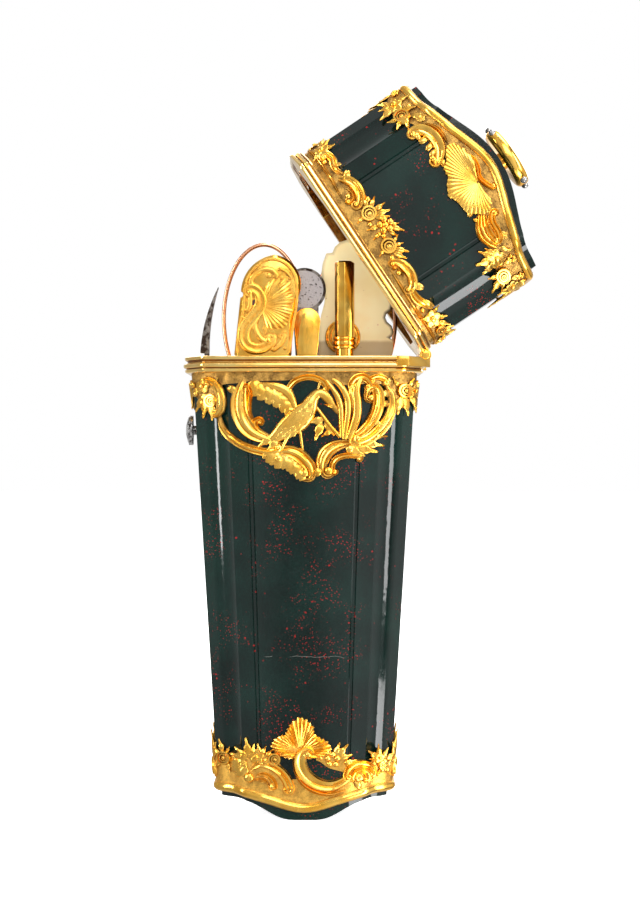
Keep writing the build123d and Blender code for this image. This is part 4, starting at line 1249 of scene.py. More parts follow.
def upper_mount() -> Mount:
    """Mount under the mouth: a wading bird among reeds between C-scrolls, with flowers at the corners."""
    return Mount(
        "chased_upper_mount", "upper_mount", Part.CASE, BODY_SEATS, "chased_gold",
        grounds=(
            Ground(lambda x: -2.58,
                   between(((-24.7, -4.6), (-20.5, -4.4), (-17.8, -7.0), (-15.0, -7.4), (-13.6, -4.9),
                            (-11.4, -4.5), (-9.6, -4.2), (-3.0, -4.0), (0.4, -3.7), (3.4, -4.4), (8.0, -4.8),
                            (11.5, -4.4), (13.8, -5.2), (15.6, -7.2), (17.8, -7.0), (20.5, -4.4),
                            (24.7, -4.6))), 24.7),
        ),
        scrolls=(
            Scroll(((-15.6, -3.9), (-14.2, -4.7), (-13.4, -6.7), (-13.5, -8.6), (-14.1, -9.4)), 1.5, 0.85),
            Scroll(((-14.0, -9.2), (-13.8, -11.0), (-12.6, -12.9), (-10.8, -14.4), (-8.6, -15.3),
                    (-6.2, -15.9), (-4.3, -15.7)), 1.6, 0.85, (False, True)),
            Scroll(((-9.7, -3.4), (-10.1, -5.0), (-10.6, -6.9), (-10.5, -9.4), (-9.5, -11.6), (-8.0, -12.9),
                    (-6.0, -13.7), (-3.9, -14.3)), 3.1, 1.15, (False, False),
                   widths=(0.12, 0.62, 0.95, 1.0, 0.95, 0.8, 0.55, 0.3)),
            Scroll(((-9.0, -5.0), (-8.6, -6.4), (-8.9, -8.2), (-8.7, -9.9), (-7.7, -11.4)), 0.8, 1.1,
                   (True, False)),
            Scroll(((-4.6, -13.6), (-6.7, -12.8), (-7.9, -11.8), (-8.1, -10.9), (-7.6, -10.5)), 1.2, 0.9,
                   (False, True)),
            Scroll(((-4.4, -15.9), (-2.6, -15.5), (-0.9, -16.2), (0.5, -17.5), (1.3, -18.9), (1.1, -20.1),
                    (0.4, -20.3)), 2.4, 1.05, widths=(0.5, 0.85, 1.0, 1.0, 0.85, 0.6, 0.4)),
            Scroll(((3.0, -19.0), (2.9, -17.4), (3.6, -15.8), (5.0, -14.8), (7.2, -14.3)), 2.5, 1.0,
                   widths=(0.5, 0.9, 1.0, 0.85, 0.5)),
            Scroll(((4.6, -18.9), (4.6, -17.8), (5.3, -16.8), (6.9, -16.3), (8.9, -16.4)), 1.1, 0.8),
            Scroll(((10.1, -6.6), (10.5, -5.3), (11.4, -4.9), (12.0, -5.8), (12.1, -8.0), (11.4, -10.2),
                    (9.9, -12.1), (8.0, -13.5)), 1.9, 1.0, widths=(0.5, 0.7, 0.85, 1.0, 1.0, 1.0, 0.85, 0.6)),
            Scroll(((12.9, -4.2), (14.0, -5.3), (14.6, -7.2), (14.2, -9.4), (12.9, -11.6), (10.9, -13.5),
                    (9.0, -14.3)), 1.9, 0.95, (False, True)),
            Scroll(((7.8, -4.6), (8.6, -3.5), (9.9, -3.4), (10.9, -4.5)), 1.5, 0.85),
            Scroll(((11.2, -3.6), (12.2, -3.3), (13.3, -3.9)), 1.1),
            Scroll(((-2.6, -5.4), (-1.7, -4.2), (-0.1, -3.5), (1.7, -3.5), (3.1, -4.2), (3.7, -5.2)), 1.1,
                   0.8),
        ),
        stalks=(
            Stalk(((-1.4, -8.8), (-2.0, -6.8), (-3.1, -5.5), (-5.3, -4.7), (-9.7, -4.6)), 1.9, 1.15,
                  (0.55, 0.8, 0.9, 0.65, 0.15)),
            Stalk(((-5.9, -14.2), (-4.3, -13.0), (-2.2, -11.5), (-0.4, -10.0), (0.8, -8.5), (1.4, -7.1),
                   (2.1, -6.2), (3.0, -6.1), (3.8, -6.8), (4.6, -8.0), (5.6, -9.2), (6.7, -10.3)), 4.1, 1.5,
                  (0.25, 0.62, 0.95, 1.0, 0.76, 0.5, 0.4, 0.4, 0.4, 0.32, 0.22, 0.1)),
            Stalk(((-2.0, -12.2), (-3.2, -14.2), (-4.0, -16.1)), 0.75, 0.7, ends=(1.0, 0.6)),
            Stalk(((-0.7, -12.0), (-0.4, -14.2), (-0.1, -16.4)), 0.7, 0.7, ends=(1.0, 0.6)),
            Stalk(((2.9, -3.4), (2.6, -4.6), (2.1, -5.9)), 1.0, 0.85),
            Stalk(((3.6, -4.0), (5.0, -5.6), (6.0, -7.8), (6.1, -10.5), (6.2, -13.4)), 1.15, 0.9,
                  ends=(0.5, 0.8)),
            Stalk(((4.6, -3.8), (5.9, -4.6), (7.1, -6.7), (7.3, -8.8), (6.9, -11.6), (6.6, -13.7)), 1.25,
                  0.95, ends=(0.5, 0.8)),
            Stalk(((9.2, -3.7), (8.3, -5.3), (8.7, -7.5), (8.7, -9.7), (8.1, -11.6), (7.3, -13.7)), 1.5, 1.0,
                  ends=(0.6, 0.9)),
            Stalk(((7.5, -4.2), (7.5, -5.6), (8.0, -7.2), (7.9, -9.4)), 0.9, 0.8),
            Stalk(((1.7, -7.9), (3.0, -9.7), (4.3, -11.6), (5.9, -13.3)), 0.85, 0.8, ends=(0.4, 0.9)),
            Stalk(((5.0, -6.6), (6.0, -7.0), (7.0, -8.6)), 0.7, 0.7),
        ),
        roses=((16.5, -5.6, 1.25), (-15.2, -7.3, 1.15)),
        blooms=((-16.8, -4.9, 1.35), (18.9, -5.6, 1.1)),
        beads=((-18.3, -6.1, 0.5), (-18.9, -4.6, 0.5), (7.6, -5.2, 0.4)),
        leaf=1.2,
        leaves=(
            (3.4, -10.4, 0.9, -10.9, 1.3), (3.0, -10.8, 1.9, -13.6), (3.4, -10.6, 4.8, -12.9),
            (4.6, -12.2, 3.0, -13.2), (4.9, -8.4, 3.4, -8.0, 0.9), (6.6, -14.8, 9.6, -16.3),
            (8.4, -15.0, 11.6, -15.7), (9.6, -14.2, 12.6, -14.7), (10.6, -13.2, 13.2, -13.2, 1.1),
            (7.2, -13.8, 9.4, -14.9), (7.9, -14.9, 10.2, -13.4, 1.1), (-16.1, -7.0, -16.5, -9.9),
            (-15.2, -7.6, -15.0, -10.3), (-16.6, -6.6, -18.1, -8.9), (-17.4, -5.0, -19.4, -6.6),
            (-16.0, -6.2, -17.6, -7.6), (-15.0, -5.6, -14.0, -3.6, 1.0), (16.1, -6.4, 15.3, -9.3),
            (16.6, -6.4, 17.1, -9.5), (18.9, -6.2, 19.2, -9.0), (17.2, -5.0, 18.4, -3.6, 1.0),
            (15.6, -5.0, 14.4, -3.4, 1.0), (17.4, -6.0, 18.4, -7.8), (-5.1, -13.2, -7.3, -14.8),
            (-4.2, -13.6, -5.9, -15.4),
        ),
        lobe=1.3,
        lobes=(
            (-6.9, -4.6, -9.1, -6.0, 1.5), (-6.0, -4.7, -8.0, -7.0, 1.4), (-5.0, -4.9, -6.7, -7.6),
            (-4.0, -5.3, -5.4, -8.3), (-3.2, -5.9, -4.2, -8.8), (-2.4, -6.8, -3.2, -9.6),
            (-1.8, -8.0, -2.6, -10.2), (-3.4, -15.9, -5.2, -18.3, 1.4), (-4.4, -15.6, -6.6, -17.2),
            (-2.2, -16.4, -3.2, -18.9, 1.4), (-0.8, -17.4, -1.9, -19.7, 1.4), (0.0, -18.6, -1.0, -20.5),
            (2.6, -18.4, 1.9, -19.8, 1.2), (-10.9, -6.0, -12.4, -5.0, 1.0), (12.6, -8.0, 13.7, -7.6),
            (11.6, -11.0, 12.7, -11.4), (12.9, -5.6, 13.7, -6.6, 1.2),
        ),
        feathers=(
            (1.5, -7.6, 1.15), (0.6, -8.4, 1.35), (1.2, -9.0, 1.2), (-0.3, -9.0, 1.35), (0.3, -9.7, 1.4),
            (0.6, -10.5, 1.15), (-1.1, -9.9, 1.35), (-0.5, -10.6, 1.42), (-0.4, -11.4, 1.15),
            (-1.9, -10.8, 1.3), (-1.3, -11.5, 1.4), (-1.3, -12.3, 1.1), (-2.6, -11.7, 1.2),
            (-2.2, -12.4, 1.2), (-3.3, -12.5, 1.1),
        ),
        side_scrolls=(
            Scroll(((20.4, -4.4), (21.4, -5.8), (22.0, -7.2), (23.0, -8.4), (24.5, -8.7)), 1.2, 0.8,
                   (True, False)),
        ),
        side_leaves=(
            (24.7, -4.6, 24.6, -7.4, 1.3), (24.2, -4.4, 22.9, -6.6), (23.7, -4.2, 22.1, -5.2, 1.1),
            (21.6, -6.2, 20.4, -8.4, 1.0),
        ),
    )


def lower_mount() -> Mount:
    """Mount of the foot: a frilled shell over C-scrolls on a matted ground with a broad serpentine border."""
    base = wave(-72.6, -3.0)
    return Mount(
        "chased_lower_mount", "lower_mount", Part.CASE, BODY_SEATS, "lower_gold",
        grounds=(
            Ground(between(((-19.8, -66.8), (-16.0, -66.6), (-13.2, -65.9), (-11.4, -66.3), (-9.4, -65.6),
                            (-7.0, -65.5), (-5.2, -65.8), (-4.2, -67.0), (-3.2, -68.8), (-2.2, -69.9),
                            (-0.6, -69.9), (1.4, -70.6), (3.8, -71.2), (5.9, -70.9), (6.9, -69.8),
                            (7.7, -67.9), (9.1, -67.4), (10.7, -67.5), (11.7, -66.7), (13.2, -66.4),
                            (15.2, -66.8), (19.8, -66.8))), lambda x: base(x) + 0.1, 19.8),
            Ground(between(((2.0, -65.5), (4.9, -65.4), (7.8, -66.9))),
                   between(((2.0, -66.8), (4.0, -68.0), (6.0, -68.6), (7.8, -69.2))), 2.9, 0.4, 4.9),
        ),
        borders=((lambda x: base(x) + 0.85, 19.8, 1.7),),
        scrolls=(
            Scroll(((0.2, -65.3), (-0.6, -66.0), (-0.8, -67.3), (-0.3, -68.7), (0.7, -69.9), (2.3, -70.9),
                    (4.1, -71.2), (5.9, -70.7), (7.2, -69.7)), 2.4, 1.35, (True, False), Line.DOUBLE,
                   widths=(0.7, 0.9, 1.0, 1.0, 1.0, 0.95, 0.85, 0.7, 0.5), eye=0.3),
            Scroll(((-1.7, -68.2), (-1.0, -69.9), (0.6, -71.4), (2.6, -72.3), (5.2, -72.5), (7.4, -71.5)),
                   0.9, 0.85, (False, False)),
            Scroll(((-8.9, -68.7), (-8.0, -67.6), (-6.2, -67.3), (-4.5, -68.1), (-3.0, -69.6), (-2.3, -71.4)),
                   1.8, 1.1, (False, True), Line.DOUBLE, eye=0.25),
            Scroll(((-8.1, -69.5), (-6.9, -69.0), (-5.6, -69.6), (-4.9, -70.7)), 1.2, 0.85, (False, True)),
            Scroll(((-8.6, -70.2), (-7.2, -69.9), (-6.2, -70.4), (-5.7, -71.2)), 0.8, 0.7, (False, False)),
            Scroll(((6.9, -69.2), (7.6, -67.8), (9.1, -67.3), (10.6, -67.8), (11.3, -69.1)), 1.3, 1.0),
            Scroll(((7.9, -69.6), (8.5, -68.6), (9.4, -68.4), (10.2, -69.0), (10.4, -69.9)), 1.0, 0.8),
        ),
        shells=(
            Shell((-0.7, -65.4),
                  ((-2.3, -66.5), (-3.6, -66.1), (-5.0, -65.3), (-5.5, -64.4), (-5.0, -63.4), (-3.9, -62.8),
                   (-2.9, -62.6), (-2.7, -61.6), (-2.1, -60.5), (-0.8, -59.5), (0.5, -60.1), (1.4, -61.2),
                   (1.5, -62.3), (2.6, -63.0), (3.9, -63.6), (4.6, -64.7), (3.9, -65.7), (2.2, -66.3)), 29),
        ),
        roses=((-13.2, -66.8, 1.25), (-4.9, -66.6, 1.1), (13.1, -68.1, 0.9)),
        blooms=((-7.8, -66.2, 1.25), (12.4, -66.8, 0.95), (-11.0, -66.9, 0.9)),
        berries=((4.7, -66.7, 0.85), (13.2, -68.2, 0.8)),
        beads=(
            (8.97, -69.8, 0.8), (-8.97, -69.8, 0.8), (7.1, -67.2, 0.55), (-6.8, -65.3, 0.5),
            (-8.5, -65.2, 0.35), (2.7, -66.4, 0.4), (-7.0, -67.3, 0.3), (-5.2, -71.2, 0.5),
            (11.4, -67.7, 0.4), (14.4, -67.0, 0.4),
        ),
        leaves=(
            (-13.4, -66.0, -14.0, -63.9), (-12.8, -66.0, -12.2, -64.9), (-9.0, -66.4, -9.5, -63.4, 1.0),
            (-9.2, -66.6, -11.0, -64.9), (-9.0, -66.6, -11.8, -66.0), (-8.6, -66.0, -8.1, -64.2),
            (-7.0, -65.9, -6.3, -64.5), (-6.4, -66.2, -5.2, -65.0, 1.0), (-7.2, -65.6, -7.5, -64.1, 1.0),
            (5.0, -66.2, 5.8, -64.0), (5.3, -66.4, 7.0, -64.3), (4.4, -66.0, 3.8, -64.6),
            (5.6, -66.6, 7.7, -65.9), (6.4, -67.4, 8.4, -66.8), (12.4, -66.8, 12.1, -64.6),
            (12.1, -66.9, 10.5, -65.5, 1.2), (12.0, -67.2, 10.6, -66.8, 1.2), (12.9, -66.8, 13.7, -65.3),
            (13.6, -67.2, 15.1, -66.1), (13.8, -67.8, 15.3, -67.4), (13.4, -68.6, 14.4, -69.7),
            (12.6, -68.6, 11.9, -69.8), (-13.8, -67.4, -14.9, -68.6), (-12.6, -67.5, -12.2, -69.0),
            (-14.0, -66.4, -15.2, -65.3),
        ),
        lobe=1.0,
        lobes=(
            (-9.4, -67.6, -12.0, -68.6), (-9.4, -67.4, -12.2, -67.6), (-9.2, -68.2, -11.2, -69.5),
            (8.4, -70.2, 9.2, -71.6), (-2.8, -70.6, -1.6, -71.6), (-6.4, -67.6, -5.8, -66.3),
        ),
        side_scrolls=(
            Scroll(((15.4, -69.2), (16.0, -67.8), (17.4, -67.2), (18.9, -67.8), (19.6, -68.8)), 1.4, 0.9),
        ),
        side_leaves=(
            (16.6, -67.2, 16.2, -62.6), (17.4, -67.0, 17.8, -63.8), (19.6, -67.6, 19.6, -64.0, 1.2),
            (15.8, -67.2, 14.9, -64.6), (18.4, -67.0, 18.9, -65.0),
        ),
    )


def lid_crest() -> Mount:
    """Mount of the lid's end: a frilled shell under the swell of a smooth border, scrolls and flowers."""
    edge = wave(23.1, 4.1)
    return Mount(
        "chased_lid_crest", "lid_upper_mount", Part.LID, LID_SEATS, "chased_gold",
        grounds=(
            Ground(lambda x: edge(x) - 0.1,
                   between(((-24.9, 19.4), (-21.0, 19.8), (-18.4, 18.6), (-15.0, 18.0), (-13.0, 19.2),
                            (-11.0, 20.2), (-6.9, 20.6), (-4.5, 21.0), (0.5, 20.6), (5.0, 20.4), (7.0, 19.9),
                            (10.0, 19.2), (12.4, 18.2), (16.0, 17.9), (18.8, 18.4), (21.0, 19.8),
                            (24.9, 19.4))), 24.9),
        ),
        borders=((lambda x: edge(x) - 0.8, 24.9, 1.6),),
        scrolls=(
            Scroll(((-11.5, 18.8), (-11.1, 20.0), (-9.5, 21.0), (-7.5, 21.2), (-5.9, 20.6), (-4.9, 19.5)),
                   2.3, 1.15, line=Line.DOUBLE, widths=(0.6, 0.9, 1.0, 1.0, 0.9, 0.65), eye=0.3),
            Scroll(((-11.9, 20.6), (-10.4, 22.2), (-8.0, 22.7), (-6.2, 22.3)), 0.8, 0.8, (False, False)),
            Scroll(((6.3, 20.6), (7.9, 19.5), (9.9, 19.2), (11.7, 20.1)), 2.9, 1.0, (False, False),
                   Line.FLUTES, widths=(0.6, 0.95, 1.0, 0.6)),
            Scroll(((7.0, 22.0), (8.2, 21.2), (9.8, 21.3), (11.0, 20.9)), 1.3, 0.9),
            Scroll(((-3.4, 23.7), (-2.2, 24.5), (-0.5, 24.3), (0.8, 23.5), (2.1, 23.8), (3.4, 24.4)), 1.0,
                   0.95),
        ),
        shells=(
            Shell((1.5, 22.9),
                  ((-1.8, 24.3), (-4.2, 23.9), (-5.9, 23.2), (-6.3, 22.2), (-5.3, 21.3), (-3.9, 20.7),
                   (-3.3, 19.7), (-1.9, 19.5), (-0.9, 18.5), (0.7, 17.7), (2.0, 18.5), (3.3, 18.7),
                   (4.6, 18.7), (5.6, 19.8), (6.4, 20.9), (6.2, 22.0), (4.9, 23.1)), 30),
        ),
        roses=((-14.4, 18.9, 1.4), (16.2, 18.3, 1.3)),
        blooms=(
            (-17.1, 19.1, 1.55), (13.4, 18.8, 1.5), (10.9, 21.7, 0.7), (-12.5, 21.2, 0.8), (19.2, 18.9, 1.3),
        ),
        berries=((-19.4, 20.6, 0.5), (14.6, 20.9, 0.5), (18.0, 20.9, 0.45)),
        beads=((-10.0, 19.0, 0.5), (-5.9, 19.0, 0.5), (-15.4, 21.0, 0.4), (6.4, 19.2, 0.4)),
        leaves=(
            (-16.8, 18.6, -16.1, 16.0), (-17.3, 18.6, -17.5, 16.6), (-17.8, 18.8, -19.1, 17.0),
            (-14.4, 18.2, -14.9, 16.5), (-14.0, 18.4, -13.0, 17.0), (-13.4, 19.0, -11.9, 18.4),
            (-15.6, 19.6, -14.6, 21.6), (-17.4, 19.8, -17.0, 21.8), (-13.6, 20.0, -12.4, 22.0),
            (13.0, 18.5, 11.0, 16.9), (13.2, 18.2, 12.5, 15.5), (13.6, 18.2, 14.0, 15.7),
            (12.8, 19.0, 11.1, 18.0), (16.0, 17.8, 15.3, 16.0), (16.4, 17.8, 17.5, 15.5),
            (16.8, 18.2, 18.3, 17.0), (19.0, 18.2, 18.8, 16.2), (19.6, 18.4, 20.6, 16.2),
            (14.6, 19.4, 15.0, 21.4), (17.4, 19.2, 18.2, 21.2), (12.2, 20.0, 13.2, 21.4),
        ),
        lobes=(
            (-10.3, 19.9, -10.9, 18.0), (-9.0, 20.1, -9.2, 18.5), (-7.9, 20.3, -7.5, 18.8),
            (-6.8, 20.2, -6.2, 18.7), (-5.6, 20.0, -4.5, 18.8), (-4.8, 20.4, -3.7, 19.6),
            (4.4, 20.0, 5.4, 18.5, 0.8), (-6.0, 21.8, -5.0, 23.2),
        ),
        side_scrolls=(
            Scroll(((20.3, 21.0), (21.6, 20.4), (22.8, 19.4), (24.5, 19.2)), 1.4, 0.9, (True, False)),
        ),
        side_leaves=(
            (24.7, 19.4, 24.7, 14.6), (24.2, 19.2, 23.3, 15.8), (21.8, 20.0, 21.2, 16.0),
            (22.6, 19.6, 22.2, 17.0), (20.8, 20.4, 19.8, 17.8),
        ),
    )


def lid_garland() -> Mount:
    """Garland along the lid's rim: roses, a blossom and berries between pairs of C-scrolls."""
    return Mount(
        "chased_lid_garland", "lid_lower_mount", Part.LID, LID_SEATS, "chased_gold",
        grounds=(
            Ground(between(((-24.9, 4.3), (-20.0, 4.8), (-17.6, 5.6), (-15.5, 5.6), (-12.9, 4.9),
                            (-11.2, 5.4), (-9.8, 6.1), (-7.8, 6.1), (-6.1, 5.7), (-4.1, 6.3), (-1.4, 7.0),
                            (0.6, 6.4), (2.1, 6.0), (4.0, 5.5), (6.0, 5.7), (8.0, 5.7), (9.7, 4.8),
                            (11.2, 4.4), (12.8, 4.9), (15.5, 5.5), (18.0, 5.5), (20.0, 5.6), (24.9, 4.3))),
                   lambda x: 2.05, 24.9),
        ),
        scrolls=(
            Scroll(((-16.2, 5.3), (-14.9, 5.6), (-13.7, 4.9), (-12.6, 4.9), (-11.5, 5.8)), 1.5, 1.0,
                   (True, False)),
            Scroll(((-11.7, 4.3), (-10.8, 5.5), (-8.9, 6.1), (-7.2, 5.8), (-6.2, 4.7)), 2.0, 1.15,
                   (False, True), Line.DOUBLE, widths=(0.4, 0.9, 1.0, 0.95, 0.7), eye=0.28),
            Scroll(((-10.0, 4.2), (-8.9, 4.9), (-7.7, 4.7), (-7.4, 3.8)), 0.9, 0.85, (False, True)),
            Scroll(((4.5, 4.3), (5.7, 5.3), (7.8, 5.6), (9.3, 5.0), (10.0, 4.0)), 1.9, 1.15, (True, True),
                   Line.DOUBLE, widths=(0.6, 0.95, 1.0, 0.9, 0.6), eye=0.28),
            Scroll(((5.6, 4.2), (6.8, 4.4), (7.8, 4.1)), 0.8, 0.8, (True, False)),
            Scroll(((9.8, 4.2), (11.2, 3.9), (12.6, 4.4), (14.0, 5.5)), 1.6, 1.0, (False, False),
                   widths=(0.6, 1.0, 1.0, 0.5)),
            Scroll(((-24.6, 3.0), (-21.0, 3.2), (-17.0, 3.5), (-13.0, 3.5), (-10.0, 3.0), (-7.0, 2.9)), 0.7,
                   0.6, (False, False)),
            Scroll(((24.6, 3.0), (21.0, 3.2), (17.0, 3.3), (12.0, 2.9), (7.0, 3.0), (3.6, 3.2)), 0.7, 0.6,
                   (False, False)),
        ),
        roses=((-4.2, 5.3, 1.35), (2.0, 5.0, 1.4), (18.2, 4.9, 1.0)),
        blooms=((15.7, 4.6, 1.5), (-17.6, 4.9, 1.45), (20.8, 4.7, 1.2), (-20.6, 4.7, 1.1)),
        berries=((-1.1, 6.5, 0.95),),
        beads=(
            (-6.2, 6.4, 0.45), (-1.1, 6.5, 0.55), (3.9, 4.4, 0.4), (0.2, 5.2, 0.45), (-2.6, 4.4, 0.4),
            (-8.4, 4.0, 0.4), (6.6, 3.9, 0.4), (13.6, 3.9, 0.4), (-15.4, 4.2, 0.4),
        ),
        leaves=(
            (-4.8, 6.0, -5.9, 7.5), (-5.2, 5.4, -6.9, 6.4), (-4.1, 6.3, -4.2, 8.3), (-3.5, 6.1, -2.8, 8.3),
            (-3.1, 5.6, -2.0, 7.7), (-0.4, 7.0, 1.2, 8.4), (-0.7, 7.2, -0.2, 8.4), (0.0, 6.4, 1.4, 7.1),
            (2.0, 5.9, 1.4, 7.2), (2.5, 5.8, 2.9, 7.2), (2.9, 5.5, 4.5, 7.1), (3.2, 5.0, 5.2, 6.2),
            (2.0, 4.2, 2.6, 2.9), (-4.3, 4.3, -3.9, 2.9), (-1.6, 5.4, -2.0, 3.6), (-0.6, 5.3, -0.2, 3.6),
            (16.0, 5.4, 16.5, 6.9), (16.5, 5.1, 18.1, 6.6), (18.4, 5.5, 18.9, 7.0), (18.8, 5.2, 20.2, 6.9),
            (14.9, 5.3, 14.3, 6.6), (-17.4, 5.6, -17.0, 7.2), (-18.1, 5.5, -18.7, 7.0),
            (-18.6, 5.1, -20.0, 6.5), (15.4, 4.0, 14.6, 2.8), (-17.4, 4.2, -16.6, 2.9),
        ),
        lobes=(
            (-10.6, 5.2, -12.1, 6.4), (9.4, 4.8, 10.9, 6.0), (12.4, 4.6, 14.2, 5.8, 0.8),
            (-13.8, 5.2, -13.4, 6.2),
        ),
        side_scrolls=(Scroll(((21.8, 4.3), (22.8, 5.2), (24.0, 5.4), (24.8, 5.3)), 1.2, 0.8, (True, False)),),
        side_leaves=((24.7, 5.0, 24.7, 7.4), (23.9, 5.4, 23.3, 6.9)),
    )


# Plain metalwork and CAD nodes


@dataclass(frozen=True)
class Rim:
    """Rounded moulding round the mouth, from its inner edge out, down the profile and back in.

    The profile's points are (out from the plan, up from the mouth). The shaded rows, in the profile's
    hollows, get a low stored relief, so that the finish paints shade in them. The notch, a box from its
    middle and size, lets the claw of the catch through.
    """

    name: str
    node: str
    body: Part
    profile: Route
    shaded_rows: tuple[int, ...]
    outer: Route = ((16.9, -12.25), (19.95, -6.6))
    inner: Route = ((9.96, -9.9), (17.2, -4.25))
    corner: float = 1.0
    corner_segments: int = 5
    inner_share: float = 0.4
    shaded_relief: float = 0.05
    high_relief: float = 0.95
    notch: tuple[Spot, ...] = ()

    @staticmethod
    def _mirrored(quarter: Route) -> list[Point]:
        """Eight corners of a plan, from the two of a quarter."""
        half = [*quarter, *((x, -y) for x, y in reversed(quarter))]
        return half + [(-x, -y) for x, y in half]

    def _plan(self, loop: Sequence[Point]) -> list[Point]:
        """Outline through eight corners, with the corners rounded, in order."""
        piece = primitive(bpy.ops.mesh.primitive_circle_add, vertices=8, radius=1.0)
        turn = 2 * math.pi
        order = sorted(piece.data.vertices, key=lambda v: math.atan2(v.co.y, v.co.x) % turn)
        ring = sorted(range(8), key=lambda i: math.atan2(loop[i][1], loop[i][0]) % turn)
        for vertex, i in zip(order, ring):
            vertex.co = (*loop[i], 0)
        with editing():
            bpy.ops.mesh.bevel(offset=self.corner, segments=self.corner_segments, affect="VERTICES",
                               offset_type="OFFSET")
        mesh = piece.data
        next_to: dict[int, list[int]] = {vertex.index: [] for vertex in mesh.vertices}
        for edge in mesh.edges:
            a, b = edge.vertices
            next_to[a].append(b)
            next_to[b].append(a)
        path = [0]
        while len(path) < len(mesh.vertices):
            path.append(next(i for i in next_to[path[-1]] if len(path) < 2 or i != path[-2]))
        plan = [tuple(mesh.vertices[i].co.xy) for i in path]
        bpy.data.objects.remove(piece)
        return plan

    @staticmethod
    def _ways(plan: Sequence[Point]) -> list[Point]:
        """Outward direction at each point of a closed outline."""
        ways = []
        for i, (x, y) in enumerate(plan):
            (x0, y0), (x1, y1) = plan[i - 1], plan[(i + 1) % len(plan)]
            run, rise = x1 - x0, y1 - y0
            length = math.hypot(run, rise)
            way = (rise / length, -run / length)
            ways.append(way if way[0] * x + way[1] * y > 0 else (-way[0], -way[1]))
        return ways

    def _rows(self) -> list[list[Spot]]:
        """Closed outlines from the inner edge round the profile and back."""
        loop, hole = self._mirrored(self.outer), self._mirrored(self.inner)
        plan = self._plan(loop)
        ways = self._ways(plan)
        inside = []
        for x, y in plan:
            i = min(range(8), key=lambda i: math.dist((x, y), loop[i]))
            inside.append((hole[i][0] + self.inner_share * (x - loop[i][0]),
                           hole[i][1] + self.inner_share * (y - loop[i][1])))
        rows = [[(x + wx * out, y + wy * out, z) for (x, y), (wx, wy) in zip(plan, ways)]
                for out, z in self.profile]
        first, last = ([(x, y, z) for x, y in inside] for z in (self.profile[0][1], self.profile[-1][1]))
        return [first, *rows, last]

    def _cut(self, piece: bpy.types.Object) -> None:
        """Cuts the notch that the claw of the catch passes through."""
        middle, size = self.notch
        cutter = primitive(bpy.ops.mesh.primitive_cube_add, size, size=1.0, location=middle)
        apply_modifier(piece, "BOOLEAN", operation="DIFFERENCE", object=cutter)
        bpy.data.objects.remove(cutter)

    def build(self, finishes: Finishes) -> None:
        """Models the moulding closed, and turns it with the lid where it belongs there."""
        mesh = bmesh.new()
        rows = [[mesh.verts.new(spot) for spot in row] for row in self._rows()]
        count = len(rows[0])
        for above, below in zip(rows, rows[1:] + rows[:1]):
            for i in range(count):
                j = (i + 1) % count
                mesh.faces.new((above[i], above[j], below[j], below[i]))
        data = bpy.data.meshes.new(self.name)
        mesh.to_mesh(data)
        mesh.free()
        piece = linked(self.name, data)
        outwards(piece)
        # Rows in the profile's hollows get a low relief, which the finish turns into painted shade.
        store(piece, "relief", [self.shaded_relief if i // count - 1 in self.shaded_rows else self.high_relief
                                for i in range(len(data.vertices))])
        if self.notch:
            self._cut(piece)
        seat = Seat.LID_FRONT if self.body is Part.LID else Seat.BODY_FRONT
        piece.data.transform(seat_matrix(seat))
        smooth(piece, 40.0)
        finishes.place(piece, "rim_gold", self.body, self.node)


def plate(name: str, outline: Route, front: float, thick: float, soft: float, rim: float) -> bpy.types.Object:
    """Upright plate with rounded edges, in millimetres from the mouth.

    Args:
        name: name of the piece.
        outline: corners in order, across and up.
        front: place of its front face, front to back.
        thick: its thickness.
        soft: width of the rounding.
        rim: width of the border on its front, outside which the attribute edge is 1.

    Returns:
        The plate, in metres in its place.
    """
    piece = primitive(bpy.ops.mesh.primitive_circle_add, vertices=len(outline), radius=1.0, fill_type="NGON")
    for vertex, (x, z) in zip(piece.data.vertices, outline):
        vertex.co = (x, front, z)
    with editing():
        bpy.ops.mesh.extrude_region_move(TRANSFORM_OT_translate={"value": (0, thick, 0)})
    outwards(piece)
    rounded(piece, soft, 2, 60)
    largest = min(piece.data.polygons, key=lambda face: (round(face.center.y, 3), -face.area))
    for kind in (piece.data.polygons, piece.data.edges, piece.data.vertices):
        kind.foreach_set("select", [False] * len(kind))
    largest.select = True
    bpy.ops.object.mode_set(mode="EDIT")
    bpy.ops.mesh.select_mode(type="FACE")
    bpy.ops.mesh.inset(thickness=rim, depth=0.0)
    bpy.ops.mesh.select_mode(type="VERT")
    bpy.ops.object.mode_set(mode="OBJECT")
    store(piece, "edge", [0.0 if vertex.select else 1.0 for vertex in piece.data.vertices])
    piece.name = name
    piece.data.transform(seat_matrix(Seat.BODY_FRONT))
    smooth(piece, 40.0)
    return piece


